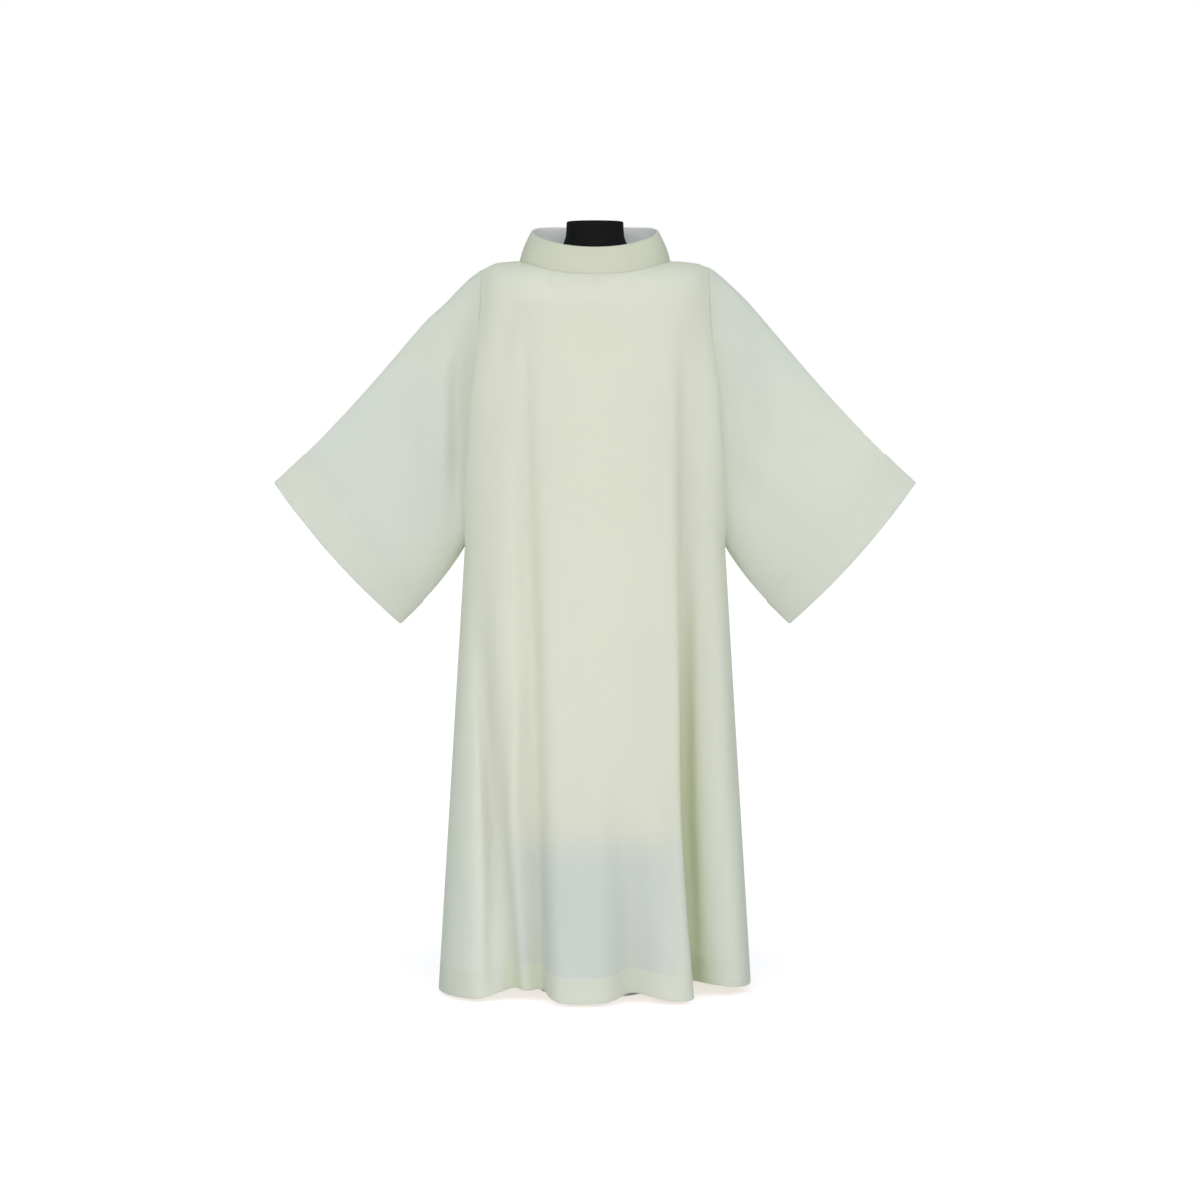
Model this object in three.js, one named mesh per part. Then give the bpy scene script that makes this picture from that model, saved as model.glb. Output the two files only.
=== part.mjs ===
// A floor-length alb with wide sleeves and a turned-over collar, worn by a limbless dress form on a
// weighted stand. Millimetres, +Z up. The garment faces -Y, and the wearer's left is +X.
// The origin is on the floor, at the centre of the stand's foot.
import * as THREE from "three";

// ---------- Driving dimensions ----------

const CLOTH = 1.5; // wall of a single layer of cloth
const HEM_WALL = 2 * CLOTH; // a turned-up hem lies two layers thick
const SEAM_GAP = 0.3; // between pieces that are sewn together
const RIGHT_ANGLE = Math.PI / 2;

const HEM = { z: 8, deep: 50, step: 0.6 };
const LEFT_LIFT = { fromX: 160, height: 10 }; // the hem hangs higher on the wearer's left
const SIDE_SEAM = { hemHalfWidth: 314, underarmHalfWidth: 260, underarmZ: 894 };
const SHOULDER = { neckHalfWidth: 143, tipHalfWidth: 226, neckZ: 1460, drop: 8 };
const YOKE = { startZ: 1180, roundHeight: 90 };
const FULLNESS = 0.7; // below 1 the plan of a panel is squarer than an ellipse
const ARM_CURVE = 1.5; // how late the side of the armhole turns in towards the shoulder
const HANG_CURVE = 1.25; // how late the depth of a panel grows below the chest
const SEAM_HOLD = 8; // the higher it is, the nearer to the side seams the folds come

// Every fold deepens downwards a little faster than evenly, and is narrower at its top.
const FOLD_SWELL = 1.15;
const FOLD_TOP_WIDTH = 0.75; // share of its width at the hem

// The armhole is an upright ellipse. The panels curl in behind their own edge to meet it.
const ARMHOLE = {
  halfDepth: 74,
  midZ: (SHOULDER.neckZ - SHOULDER.drop + SIDE_SEAM.underarmZ) / 2,
  halfHeight: (SHOULDER.neckZ - SHOULDER.drop - SIDE_SEAM.underarmZ) / 2,
  curl: THREE.MathUtils.degToRad(5),
  fade: 2, // 0.5 is the plain ellipse, and more lets it die out softly into the panel
  firmFrom: 0.62, // share of the way to the panel's edge from which on it is the plain ellipse
};

// One row for each fold of the skirt: where its line starts, where it meets the hem, how deep it is there,
// its half-widths on the side of the centre and on the side of the side seam, and, for each mm of its depth,
// how far it leans inwards and how far it lifts the hem.
const FRONT_FOLDS = [
  { startX: -142, startZ: 1340, hemX: -124, depth: 58, inner: 32, outer: 34, lean: 0, rise: 0.3 },
  { startX: -226, startZ: 790, hemX: -188, depth: 60, inner: 36, outer: 28, lean: 0, rise: 0.3 },
  { startX: 182, startZ: 1340, hemX: 250, depth: 118, inner: 30, outer: 34, lean: 0.2, rise: 0.18 },
  { startX: 44, startZ: 560, hemX: 86, depth: 54, inner: 44, outer: 44, lean: 0, rise: 0.24 },
];
const BACK_FOLDS = [
  { startX: -104, startZ: 1310, hemX: -142, depth: 96, inner: 34, outer: 40, lean: 0.1, rise: 0.16 },
  { startX: -226, startZ: 820, hemX: -232, depth: 62, inner: 30, outer: 26, lean: 0, rise: 0.2 },
  { startX: -12, startZ: 980, hemX: -30, depth: 70, inner: 40, outer: 36, lean: 0, rise: 0.22 },
  { startX: 112, startZ: 1310, hemX: 96, depth: 88, inner: 32, outer: 36, lean: 0.05, rise: 0.16 },
  { startX: 214, startZ: 900, hemX: 214, depth: 86, inner: 34, outer: 30, lean: 0.1, rise: 0.16 },
];

const FRONT = { side: -1, chestDepth: 150, hemDepth: 234, neckDepth: 105, crown: 0, folds: FRONT_FOLDS };
const BACK = { side: 1, chestDepth: 140, hemDepth: 222, neckDepth: 98, crown: 32, folds: BACK_FOLDS };

// The sleeve hangs flat between an upper and a lower edge, both drawn in the plane of the shoulders.
const SLEEVE = {
  upper: [[226, 1452], [285, 1425], [430, 1205], [640, 1018]],
  lower: [[260, 894], [290, 842], [336, 788], [391, 738]],
  cuffHalfDepth: 36,
  cuffFlatness: 1.7, // 1 is an ellipse, and more makes the cuff's two edges sharper
  cuffBulge: 9,
  hemDeep: 60,
};

const COLLAR = {
  backZ: 1532,
  frontZ: 1485,
  lean: 20,
  fall: 7,
  hover: 0.5,
  layerGap: 2.4,
  standBow: 1.5, // how far the standing part and the turned-down part swell outwards
  fallBow: 2.5,
};

// Sections of the form from the top of its neck down: height, half-width, depth in front and behind.
const FORM_NECK = [
  { z: 1539, width: 57, front: 55, back: 55 },
  { z: 1508, width: 57, front: 55, back: 56 },
  { z: 1488, width: 66, front: 60, back: 64 },
  { z: 1474, width: 84, front: 66, back: 70 },
  { z: 1466, width: 104, front: 70, back: 74 },
];
const FORM_BODY = [
  { z: 1456, width: 128, front: 72, back: 75 },
  { z: 1460, width: 156, front: 73, back: 76 },
  { z: 1458, width: 182, front: 74, back: 76 },
  { z: 1454, width: 204, front: 76, back: 77 },
  { z: 1444, width: 214, front: 80, back: 79 },
  { z: 1428, width: 219, front: 88, back: 84 },
  { z: 1390, width: 220, front: 106, back: 96 },
  { z: 1330, width: 202, front: 122, back: 104 },
  { z: 1250, width: 182, front: 128, back: 102 },
  { z: 1090, width: 158, front: 106, back: 86 },
  { z: 930, width: 178, front: 112, back: 112 },
  { z: 760, width: 174, front: 108, back: 108 },
  { z: 540, width: 160, front: 98, back: 98 },
  { z: 320, width: 148, front: 90, back: 90 },
];
// The form's gap under the shoulder seams, and how fast that gap grows in front of them and behind.
const FORM_SEAT = { gap: 0.6, fallAway: 0.3 };

const POLE = { radius: 16, flangeRadius: 46, flangeThick: 6 };
const FOOT = { radius: 110, thick: 16, bossRadius: 30, bossHeight: 36, round: 2 };

// Grid sizes
const NECK_COLUMNS = 16; // along a panel's neckline
const SHOULDER_COLUMNS = 16; // along each shoulder seam
const COLUMNS = NECK_COLUMNS + 2 * SHOULDER_COLUMNS;
const ARMHOLE_ROWS = 12; // up each side of an armhole, shared by the panels and the sleeves
const SKIRT_ROWS = [0, HEM.deep, HEM.deep + HEM.step, 133, 240, 355, 478, 611, 744]; // mm above the hem
const YOKE_EVENNESS = 0.6; // 0 crowds the rows of the yoke at both of its ends, and 1 spaces them evenly
const YOKE_FOLDED = 0.42; // share by which the lowest row of the yoke still follows the folds
const SLEEVE_RINGS = 8;
const FORM_COLUMNS = 32;

// ---------- Small helpers ----------

const { clamp, lerp, smoothstep } = THREE.MathUtils;
const vector = (x, y, z) => new THREE.Vector3(x, y, z);
const spaced = (count) => Array.from({ length: count + 1 }, (_, i) => i / count);

// A closed wall between an outer and an inner grid of points. A closed grid wraps round in its columns.
// Both faces split their quads along the same diagonal, so they stay apart where the quads are twisted. The
// two halves of an open grid are split as mirror images.
function wall(outer, inner, { closed = false, flip = false } = {}) {
  const rows = outer.length;
  const columns = outer[0].length;
  const layer = rows * columns;
  const points = [...outer.flat(), ...inner.flat()];
  const index = [];
  const at = (row, column) => row * columns + (column % columns);
  const quad = (a, b, c, d) => (flip ? index.push(a, c, b, a, d, c) : index.push(a, b, c, a, c, d));
  const across = closed ? columns : columns - 1;
  for (let row = 0; row < rows - 1; row++)
    for (let column = 0; column < across; column++) {
      const corners = [at(row, column), at(row, column + 1), at(row + 1, column + 1), at(row + 1, column)];
      if (!closed && column < across / 2) corners.push(corners.shift());
      const [a, b, c, d] = corners;
      quad(a, b, c, d);
      quad(a + layer, d + layer, c + layer, b + layer);
    }
  for (let column = 0; column < across; column++) {
    const [low, lowNext] = [at(0, column), at(0, column + 1)];
    const [high, highNext] = [at(rows - 1, column), at(rows - 1, column + 1)];
    quad(low, low + layer, lowNext + layer, lowNext);
    quad(high, highNext, highNext + layer, high + layer);
  }
  for (let row = 0; !closed && row < rows - 1; row++) {
    const [left, leftNext] = [at(row, 0), at(row + 1, 0)];
    const [right, rightNext] = [at(row, columns - 1), at(row + 1, columns - 1)];
    quad(left, leftNext, leftNext + layer, left + layer);
    quad(right, right + layer, rightNext + layer, rightNext);
  }
  return geometryOf(points, index);
}

function geometryOf(points, index) {
  const geometry = new THREE.BufferGeometry().setFromPoints(points);
  geometry.setIndex(index);
  geometry.computeVertexNormals();
  return geometry;
}

// The grid moved inwards by a thickness that may change from row to row.
function offsetInwards(grid, thicknessOfRow, { closed = false, flip = false } = {}) {
  const rows = grid.length;
  const columns = grid[0].length;
  return grid.map((line, row) =>
    line.map((point, column) => {
      const before = closed ? (column + columns - 1) % columns : Math.max(0, column - 1);
      const after = closed ? (column + 1) % columns : Math.min(columns - 1, column + 1);
      const along = line[after].clone().sub(line[before]);
      const up = grid[Math.min(rows - 1, row + 1)][column].clone().sub(grid[Math.max(0, row - 1)][column]);
      const outwards = flip ? up.cross(along) : along.cross(up);
      return point.clone().addScaledVector(outwards.normalize(), -thicknessOfRow(row));
    }),
  );
}

// A solid through closed rings of points, capped at both ends, from the bottom ring to the top one.
function solidThrough(rings) {
  const columns = rings[0].length;
  const points = rings.flat();
  const middle = (ring) => ring.reduce((sum, point) => sum.add(point), vector(0, 0, 0)).divideScalar(columns);
  points.push(middle(rings[0]), middle(rings.at(-1)));
  const [bottom, top] = [points.length - 2, points.length - 1];
  const last = (rings.length - 1) * columns;
  const index = [];
  for (let column = 0; column < columns; column++) {
    const next = (column + 1) % columns;
    for (let base = 0; base < last; base += columns) {
      const [low, lowNext] = [base + column, base + next];
      index.push(low, lowNext, lowNext + columns, low, lowNext + columns, low + columns);
    }
    index.push(bottom, next, column, top, last + column, last + next);
  }
  return geometryOf(points, index);
}

// ---------- The body of the garment ----------

// How far out the panel reaches at a height.
function halfWidth(z) {
  const { hemHalfWidth, underarmHalfWidth, underarmZ } = SIDE_SEAM;
  const up = clamp((z - HEM.z) / (underarmZ - HEM.z), 0, 1);
  if (z < underarmZ) return lerp(hemHalfWidth, underarmHalfWidth, up);
  const rise = (z - underarmZ) / (2 * ARMHOLE.halfHeight);
  return lerp(underarmHalfWidth, SHOULDER.tipHalfWidth, Math.min(1, rise) ** ARM_CURVE);
}

function shoulderZ(x) {
  const { neckHalfWidth, tipHalfWidth, neckZ, drop } = SHOULDER;
  return neckZ - drop * clamp((Math.abs(x) - neckHalfWidth) / (tipHalfWidth - neckHalfWidth), 0, 1) ** 2;
}

// Where the rounding over the shoulder would come to its top, which is higher across the nape.
function yokeTop(panel, x) {
  return shoulderZ(x) + panel.crown * Math.max(0, 1 - (x / SHOULDER.neckHalfWidth) ** 2) ** 2;
}

const fullnessAt = (u) => Math.cos(RIGHT_ANGLE * Math.abs(u)) ** FULLNESS;
const edgeShare = (u) => (1 - fullnessAt(u)) ** 2;
const seamHold = (u) => 1 - Math.abs(u) ** SEAM_HOLD; // 0 at the side seams, where no fold can press in

// How far the armhole stands out from the plane of the shoulders.
function armholeDepth(u, z) {
  const height = (z - ARMHOLE.midZ) / ARMHOLE.halfHeight;
  if (Math.abs(height) >= 1) return 0;
  const firmness = Math.min(1, edgeShare(u) / ARMHOLE.firmFrom);
  return ARMHOLE.halfDepth * (1 - height * height) ** lerp(ARMHOLE.fade, 0.5, firmness);
}

// The upper edge of a panel: the neckline in the middle and a shoulder seam on each side.
function upperEdge(panel, u) {
  const { neckHalfWidth, tipHalfWidth } = SHOULDER;
  const x = tipHalfWidth * Math.sin(RIGHT_ANGLE * u);
  if (Math.abs(x) >= neckHalfWidth) return { x, z: shoulderZ(x), turn: RIGHT_ANGLE };
  const y = panel.neckDepth * Math.sqrt(1 - (x / neckHalfWidth) ** 2);
  const turn = Math.acos(y / (panel.chestDepth * fullnessAt(u)));
  return { x, z: yokeTop(panel, x) - YOKE.roundHeight * (1 - Math.sin(turn)), turn };
}

// Where the columns stand at the upper edge: even steps round the neckline, and even steps of u beyond it.
function upperEdgeU(share) {
  const cornerX = SHOULDER.neckHalfWidth / SHOULDER.tipHalfWidth;
  const cornerU = Math.asin(cornerX) / RIGHT_ANGLE;
  const fromMiddle = Math.abs(share - 0.5) * COLUMNS;
  const roundNeck = fromMiddle / (NECK_COLUMNS / 2);
  const alongShoulder = (fromMiddle - NECK_COLUMNS / 2) / SHOULDER_COLUMNS;
  const u = roundNeck < 1
    ? Math.asin(cornerX * Math.sin(RIGHT_ANGLE * roundNeck)) / RIGHT_ANGLE
    : lerp(cornerU, 1, alongShoulder);
  return Math.sign(share - 0.5) * u;
}

function depthAt(panel, z) {
  const chestZ = SHOULDER.neckZ - YOKE.roundHeight;
  const hang = clamp((chestZ - z) / (chestZ - HEM.z), 0, 1);
  return lerp(panel.chestDepth, panel.hemDepth, hang ** HANG_CURVE);
}

// How far the folds push the cloth in at a place, drag it towards the centre, and lift the hem.
function foldsAt(panel, x, z) {
  let depth = 0;
  let drag = 0;
  let lift = 0;
  for (const fold of panel.folds) {
    const down = clamp((fold.startZ - z) / (fold.startZ - HEM.z), 0, 1);
    const middle = lerp(fold.startX, fold.hemX, down);
    const outwards = (x - middle) * Math.sign(middle);
    const width = (outwards < 0 ? fold.inner : fold.outer) * lerp(FOLD_TOP_WIDTH, 1, down);
    const push = fold.depth * down ** FOLD_SWELL * Math.exp(-((outwards / width) ** 2));
    depth += push;
    drag += push * fold.lean * Math.sign(middle);
    lift += push * fold.rise;
  }
  return { depth, drag, lift };
}

// A point of a panel's outer face: u runs from -1 to 1 across the panel, and z is its height.
function bodyPoint(panel, u, z) {
  const armhole = armholeDepth(u, z);
  const sweep = RIGHT_ANGLE + (ARMHOLE.curl * armhole) / ARMHOLE.halfDepth;
  const edge = upperEdge(panel, u);
  const reach = smoothstep(z, YOKE.startZ, edge.z);
  const x = -panel.side * lerp(halfWidth(z) * Math.sin(u * sweep), edge.x, reach);
  const roundStart = yokeTop(panel, x) - YOKE.roundHeight;
  const rounding = Math.sqrt(1 - clamp((z - roundStart) / YOKE.roundHeight, 0, 1) ** 2);
  const y = depthAt(panel, z) * fullnessAt(u) * rounding + armhole * edgeShare(u) + SEAM_GAP / 2;
  const folds = foldsAt(panel, x, z);
  const hold = seamHold(u);
  const inwards = new THREE.Vector2(-x / halfWidth(z) ** 2, -y / depthAt(panel, z) ** 2).normalize();
  return vector(
    x + (inwards.x * folds.depth - folds.drag) * hold,
    panel.side * (y + inwards.y * folds.depth * hold),
    z,
  );
}

function hemZ(panel, u) {
  const x = -panel.side * halfWidth(HEM.z) * Math.sin(u * RIGHT_ANGLE);
  const tilt = LEFT_LIFT.height * smoothstep(x, LEFT_LIFT.fromX, SIDE_SEAM.hemHalfWidth);
  return HEM.z + tilt + foldsAt(panel, x, HEM.z).lift * seamHold(u);
}

// Heights of a column of a panel, above the underarm.
function yokeZ(panel, u, share) {
  const { underarmZ } = SIDE_SEAM;
  const edge = upperEdge(panel, u);
  const even = lerp((1 - Math.cos(Math.PI * share)) / 2, share, YOKE_EVENNESS * (1 - edgeShare(u)));
  const roundStart = yokeTop(panel, edge.x) - YOKE.roundHeight;
  const arc = (edge.turn * (YOKE.roundHeight + panel.chestDepth)) / 2;
  const travelled = even * (roundStart - underarmZ + arc);
  const past = travelled - (roundStart - underarmZ);
  const rounded = roundStart + YOKE.roundHeight * Math.sin((edge.turn * past) / arc);
  const onPath = past < 0 ? underarmZ + travelled : rounded;
  return lerp(onPath, lerp(underarmZ, edge.z, even), edgeShare(u));
}

// A row's columns lie evenly along the folded cloth in the skirt, and as at the upper edge in the yoke.
function rowOf(panel, heightAt, foldedShare) {
  const dense = spaced(COLUMNS * 8).map((share) => lerp(-1, 1, share));
  const lengths = [0];
  dense.slice(1).forEach((u, i) => {
    const [here, before] = [u, dense[i]].map((at) => bodyPoint(panel, at, heightAt(at)));
    lengths.push(lengths[i] + here.distanceTo(before));
  });
  return spaced(COLUMNS).map((share) => {
    const wanted = share * lengths.at(-1);
    const next = Math.max(1, lengths.findIndex((length) => length >= wanted - 1e-9));
    const between = (wanted - lengths[next - 1]) / (lengths[next] - lengths[next - 1]);
    const u = lerp(upperEdgeU(share), lerp(dense[next - 1], dense[next], between), foldedShare);
    return bodyPoint(panel, clamp(u, -1, 1), heightAt(clamp(u, -1, 1)));
  });
}

function panelGrid(panel) {
  const skirt = SKIRT_ROWS.map((height) => {
    const share = height / (SIDE_SEAM.underarmZ - HEM.z);
    return rowOf(panel, (u) => lerp(hemZ(panel, u), SIDE_SEAM.underarmZ, share), lerp(1, 0.5, share));
  });
  const yoke = spaced(ARMHOLE_ROWS).map((share) =>
    rowOf(panel, (u) => yokeZ(panel, u, share), YOKE_FOLDED * Math.max(0, 1 - 2 * share)),
  );
  return [...skirt, ...yoke];
}

// Panel and sleeve meet at a valley, so both end in the same slanted face. For each mm of cloth it runs this
// far towards the axis of the body and towards the middle of the armhole. Under the arm the valley is sharp,
// and the face stands nearly upright.
const MITRE = { sideLean: 1.5, underarmLean: 0.6, shoulderLean: 0, plainRise: 1, underarmRise: 4 };

function mitreAt(z) {
  const height = clamp((z - ARMHOLE.midZ) / ARMHOLE.halfHeight, -1, 1);
  const endLean = height < 0 ? MITRE.underarmLean : MITRE.shoulderLean;
  return {
    towardsAxis: lerp(MITRE.sideLean, endLean, height ** 4),
    towardsMiddle: lerp(MITRE.plainRise, MITRE.underarmRise, Math.max(0, -height) ** 6),
  };
}

function towardsArmholeMiddle(point) {
  const upright = (point.z - ARMHOLE.midZ) / ARMHOLE.halfHeight;
  return vector(0, -point.y / ARMHOLE.halfDepth ** 2, -upright / ARMHOLE.halfHeight).normalize();
}

function acrossArmhole(point) {
  const { towardsAxis, towardsMiddle } = mitreAt(point.z);
  const inwards = vector(-Math.sign(point.x) * towardsAxis, 0, 0);
  return inwards.addScaledVector(towardsArmholeMiddle(point), towardsMiddle);
}

// The step from the panel's edge to the sleeve's, square to the slanted face.
function seamStep(point) {
  const { towardsAxis, towardsMiddle } = mitreAt(point.z);
  const outwards = vector(Math.sign(point.x) * towardsMiddle, 0, 0);
  return outwards.addScaledVector(towardsArmholeMiddle(point), towardsAxis).setLength(1.5 * SEAM_GAP);
}

function panelSolid(panel) {
  const outer = panelGrid(panel);
  const thickness = (row) => (row < 2 ? HEM_WALL : CLOTH);
  const inner = offsetInwards(outer, thickness);
  outer.forEach((line, row) => {
    for (const column of [0, COLUMNS]) {
      const point = line[column];
      const inArmhole = row >= SKIRT_ROWS.length;
      const across = inArmhole ? acrossArmhole(point) : vector(-Math.sign(point.x), 0, 0);
      inner[row][column] = point.clone().addScaledVector(across, thickness(row));
    }
  });
  outer.at(-1).forEach((point, column) => {
    if (column > SHOULDER_COLUMNS && column < COLUMNS - SHOULDER_COLUMNS) return;
    inner.at(-1)[column] = point.clone().add(vector(0, 0, -CLOTH));
  });
  return wall(outer, inner);
}

// ---------- Sleeves ----------

function onCurve(points, share) {
  const [x, z] = [0, 1].map((axis) => {
    const [a, b, c, d] = points.map((point) => point[axis]);
    const rest = 1 - share;
    return a * rest ** 3 + 3 * b * rest ** 2 * share + 3 * c * rest * share ** 2 + d * share ** 3;
  });
  return { x, z };
}

function lengthOfCurve(points) {
  const along = spaced(40).map((share) => onCurve(points, share));
  return along.slice(1).reduce((sum, p, i) => sum + Math.hypot(p.x - along[i].x, p.z - along[i].z), 0);
}

// Shares of the upper and the lower edge at which the rings stand. The hem band is parallel to the cuff.
function sleeveStations() {
  const bandStart = (edge) => 1 - SLEEVE.hemDeep / lengthOfCurve(edge);
  const [upperBand, lowerBand] = [bandStart(SLEEVE.upper), bandStart(SLEEVE.lower)];
  const plain = spaced(SLEEVE_RINGS)
    .slice(1)
    .map((share) => ({ upper: share * upperBand, lower: share * lowerBand }));
  const step = HEM.step / SLEEVE.hemDeep;
  const band = [step, 0.5, 1].map((share) => ({
    upper: lerp(upperBand, 1, share),
    lower: lerp(lowerBand, 1, share),
    hem: true,
  }));
  return [...plain, ...band];
}

// Two soft hollows run from the armhole to the cuff on each face. Across is 0 at the lower edge.
const SLEEVE_FOLDS = [
  { startAcross: 0.66, cuffAcross: 0.7, width: 0.16, depth: 9 },
  { startAcross: 0.3, cuffAcross: 0.34, width: 0.13, depth: 7 },
];

function sleevePoint(mirror, along, around) {
  const upper = onCurve(SLEEVE.upper, along.upper);
  const lower = onCurve(SLEEVE.lower, along.lower);
  const across = (1 - Math.cos(around)) / 2;
  const swell = Math.sin(Math.PI * across);
  const bulge = SLEEVE.cuffBulge * along.upper ** 3 * swell;
  const flatten = lerp(1, SLEEVE.cuffFlatness, along.upper);
  const halfDepth = lerp(ARMHOLE.halfDepth, SLEEVE.cuffHalfDepth, along.upper ** 0.7);
  const hollows = SLEEVE_FOLDS.reduce((sum, fold) => {
    const middle = lerp(fold.startAcross, fold.cuffAcross, along.upper);
    return sum + fold.depth * Math.exp(-(((across - middle) / fold.width) ** 2));
  }, 0) * Math.sin(Math.PI * along.upper) ** 0.8;
  const depth = halfDepth * Math.abs(Math.sin(around)) ** flatten - hollows * swell;
  const slope = Math.atan2(upper.x - lower.x, upper.z - lower.z);
  return vector(
    mirror * (lerp(lower.x, upper.x, across) + bulge * Math.cos(slope)),
    -Math.sign(Math.sin(around)) * Math.max(0, depth),
    lerp(lower.z, upper.z, across) - bulge * Math.sin(slope),
  );
}

// The first ring follows the edges of the two panels, a seam's gap away.
function armholeRing(mirror) {
  const heights = spaced(ARMHOLE_ROWS).map((share) => yokeZ(FRONT, 1, share));
  const front = heights.map((z) => bodyPoint(FRONT, mirror, z));
  const back = heights.map((z) => bodyPoint(BACK, -mirror, z)).slice(1, -1).reverse();
  return [...front, ...back].map((point, i) => {
    if (i === 0 || i === ARMHOLE_ROWS) point.setY(0);
    return point.add(seamStep(point));
  });
}

function sleeveSolid(mirror) {
  const stations = sleeveStations();
  const around = spaced(2 * ARMHOLE_ROWS).slice(0, -1).map((share) => 2 * Math.PI * share);
  const rings = stations.map((along) => around.map((angle) => sleevePoint(mirror, along, angle)));
  const outer = [armholeRing(mirror), ...rings];
  const side = { closed: true, flip: mirror > 0 };
  const inner = offsetInwards(outer, (row) => (row > 0 && stations[row - 1].hem ? HEM_WALL : CLOTH), side);
  inner[0] = outer[0].map((point) => point.clone().addScaledVector(acrossArmhole(point), CLOTH));
  return wall(outer, inner, side);
}

// ---------- Collar ----------

// The height of the yoke over a point of the plan, found by halving.
function yokeHeight(panel, x, y) {
  const halve = (low, high, isAbove) => {
    for (let i = 0; i < 40; i++) {
      const middle = (low + high) / 2;
      if (isAbove(middle)) high = middle;
      else low = middle;
    }
    return (low + high) / 2;
  };
  const uAt = (z) => halve(0, 1, (u) => Math.abs(bodyPoint(panel, u, z).x) > Math.abs(x));
  return halve(YOKE.startZ, yokeTop(panel, x), (z) => Math.abs(bodyPoint(panel, uAt(z), z).y) < Math.abs(y));
}

function neckPoint(angle) {
  const panel = Math.sin(angle) > 0 ? BACK : FRONT;
  const x = SHOULDER.neckHalfWidth * Math.cos(angle);
  const y = panel.neckDepth * Math.sin(angle);
  const outwards = new THREE.Vector2(x / SHOULDER.neckHalfWidth ** 2, y / panel.neckDepth ** 2).normalize();
  return { panel, x, y, outwards };
}

// The cross-section of the collar at an angle: a stand that leans in, a soft fold, and a fall outside it.
function collarSection(angle) {
  const { panel, x, y, outwards } = neckPoint(angle);
  const { standBow, fallBow } = COLLAR;
  const place = (out, z) => vector(x + outwards.x * out, y + outwards.y * out, z);
  const seat = (out) => yokeHeight(panel, x + outwards.x * out, y + outwards.y * out);
  const towardsFront = ((1 - Math.sin(angle)) / 2) ** 2;
  const topZ = lerp(COLLAR.backZ, COLLAR.frontZ, towardsFront);
  const bend = CLOTH + COLLAR.layerGap / 2; // outer radius of the fold
  const innerBend = COLLAR.layerGap / 2;
  const fold = (radius, degrees) => {
    const turn = THREE.MathUtils.degToRad(degrees);
    return place(bend - COLLAR.lean - radius * Math.cos(turn), topZ - bend + radius * Math.sin(turn));
  };
  const edge = COLLAR.fall;
  const edgeZ = Math.max(seat(edge), seat(edge - CLOTH)) + COLLAR.hover;
  const halfWay = (a, b, bow) => place((a.out + b.out) / 2 + bow, (a.z + b.z) / 2);
  const foot = { out: 0, z: seat(0) + SEAM_GAP };
  const outerFoot = { out: CLOTH, z: seat(CLOTH) + SEAM_GAP };
  const turnIn = { out: -COLLAR.lean, z: topZ - bend };
  const turnOut = { out: 2 * bend - COLLAR.lean, z: topZ - bend };
  return [
    place(foot.out, foot.z),
    halfWay(foot, turnIn, standBow),
    ...[0, 45, 90, 135, 180].map((degrees) => fold(bend, degrees)),
    halfWay(turnOut, { out: edge, z: edgeZ }, fallBow),
    place(edge, edgeZ),
    place(edge - CLOTH, edgeZ),
    halfWay(turnOut, { out: edge, z: edgeZ }, fallBow - CLOTH),
    ...[180, 90, 0].map((degrees) => fold(innerBend, degrees)),
    halfWay(outerFoot, turnIn, standBow + CLOTH / 2),
    place(outerFoot.out, outerFoot.z),
  ];
}

function collarSolid() {
  const segments = 2 * NECK_COLUMNS;
  const sections = spaced(segments).slice(0, -1).map((share) => collarSection(2 * Math.PI * share));
  const around = sections[0].length;
  const index = [];
  for (let i = 0; i < segments; i++)
    for (let j = 0; j < around; j++) {
      const [a, b] = [i * around + j, i * around + ((j + 1) % around)];
      const [c, d] = [((i + 1) % segments) * around + ((j + 1) % around), ((i + 1) % segments) * around + j];
      index.push(a, b, c, a, c, d);
    }
  return geometryOf(sections.flat(), index);
}

// ---------- Dress form and stand ----------

function formRing({ z, width, front, back }) {
  return spaced(FORM_COLUMNS).slice(0, -1).map((share) => {
    const angle = 2 * Math.PI * share;
    const depth = Math.sin(angle) > 0 ? back : front;
    return vector(width * Math.cos(angle), depth * Math.sin(angle), z);
  });
}

// The form carries the cloth along the shoulder seams, so its shoulders follow the underside of the yoke.
function underYoke(point) {
  const panel = point.y > 0 ? BACK : FRONT;
  const drop = CLOTH + FORM_SEAT.gap + FORM_SEAT.fallAway * Math.abs(point.y);
  if (point.z < YOKE.startZ) return point;
  return point.setZ(Math.min(point.z, yokeHeight(panel, point.x, point.y) - drop));
}

function formBodySolid() {
  const joint = { ...FORM_NECK.at(-1), z: FORM_NECK.at(-1).z - SEAM_GAP };
  const body = FORM_BODY.map((row) => formRing(row).map(underYoke));
  return solidThrough([...body.reverse(), formRing(joint)]);
}

function formNeckSolid() {
  return solidThrough([...FORM_NECK].reverse().map(formRing));
}

function turned(profile, sides) {
  const points = profile.map(([radius, z]) => new THREE.Vector2(radius, z));
  return new THREE.LatheGeometry(points, sides).rotateX(RIGHT_ANGLE);
}

function poleGeometry() {
  const bottom = FOOT.thick + SEAM_GAP;
  const top = FORM_BODY.at(-1).z - SEAM_GAP;
  const { radius, flangeRadius, flangeThick } = POLE;
  return turned(
    [
      [0, bottom], [radius, bottom], [radius, top - flangeThick],
      [flangeRadius, top - flangeThick], [flangeRadius, top], [0, top],
    ],
    24,
  );
}

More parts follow.
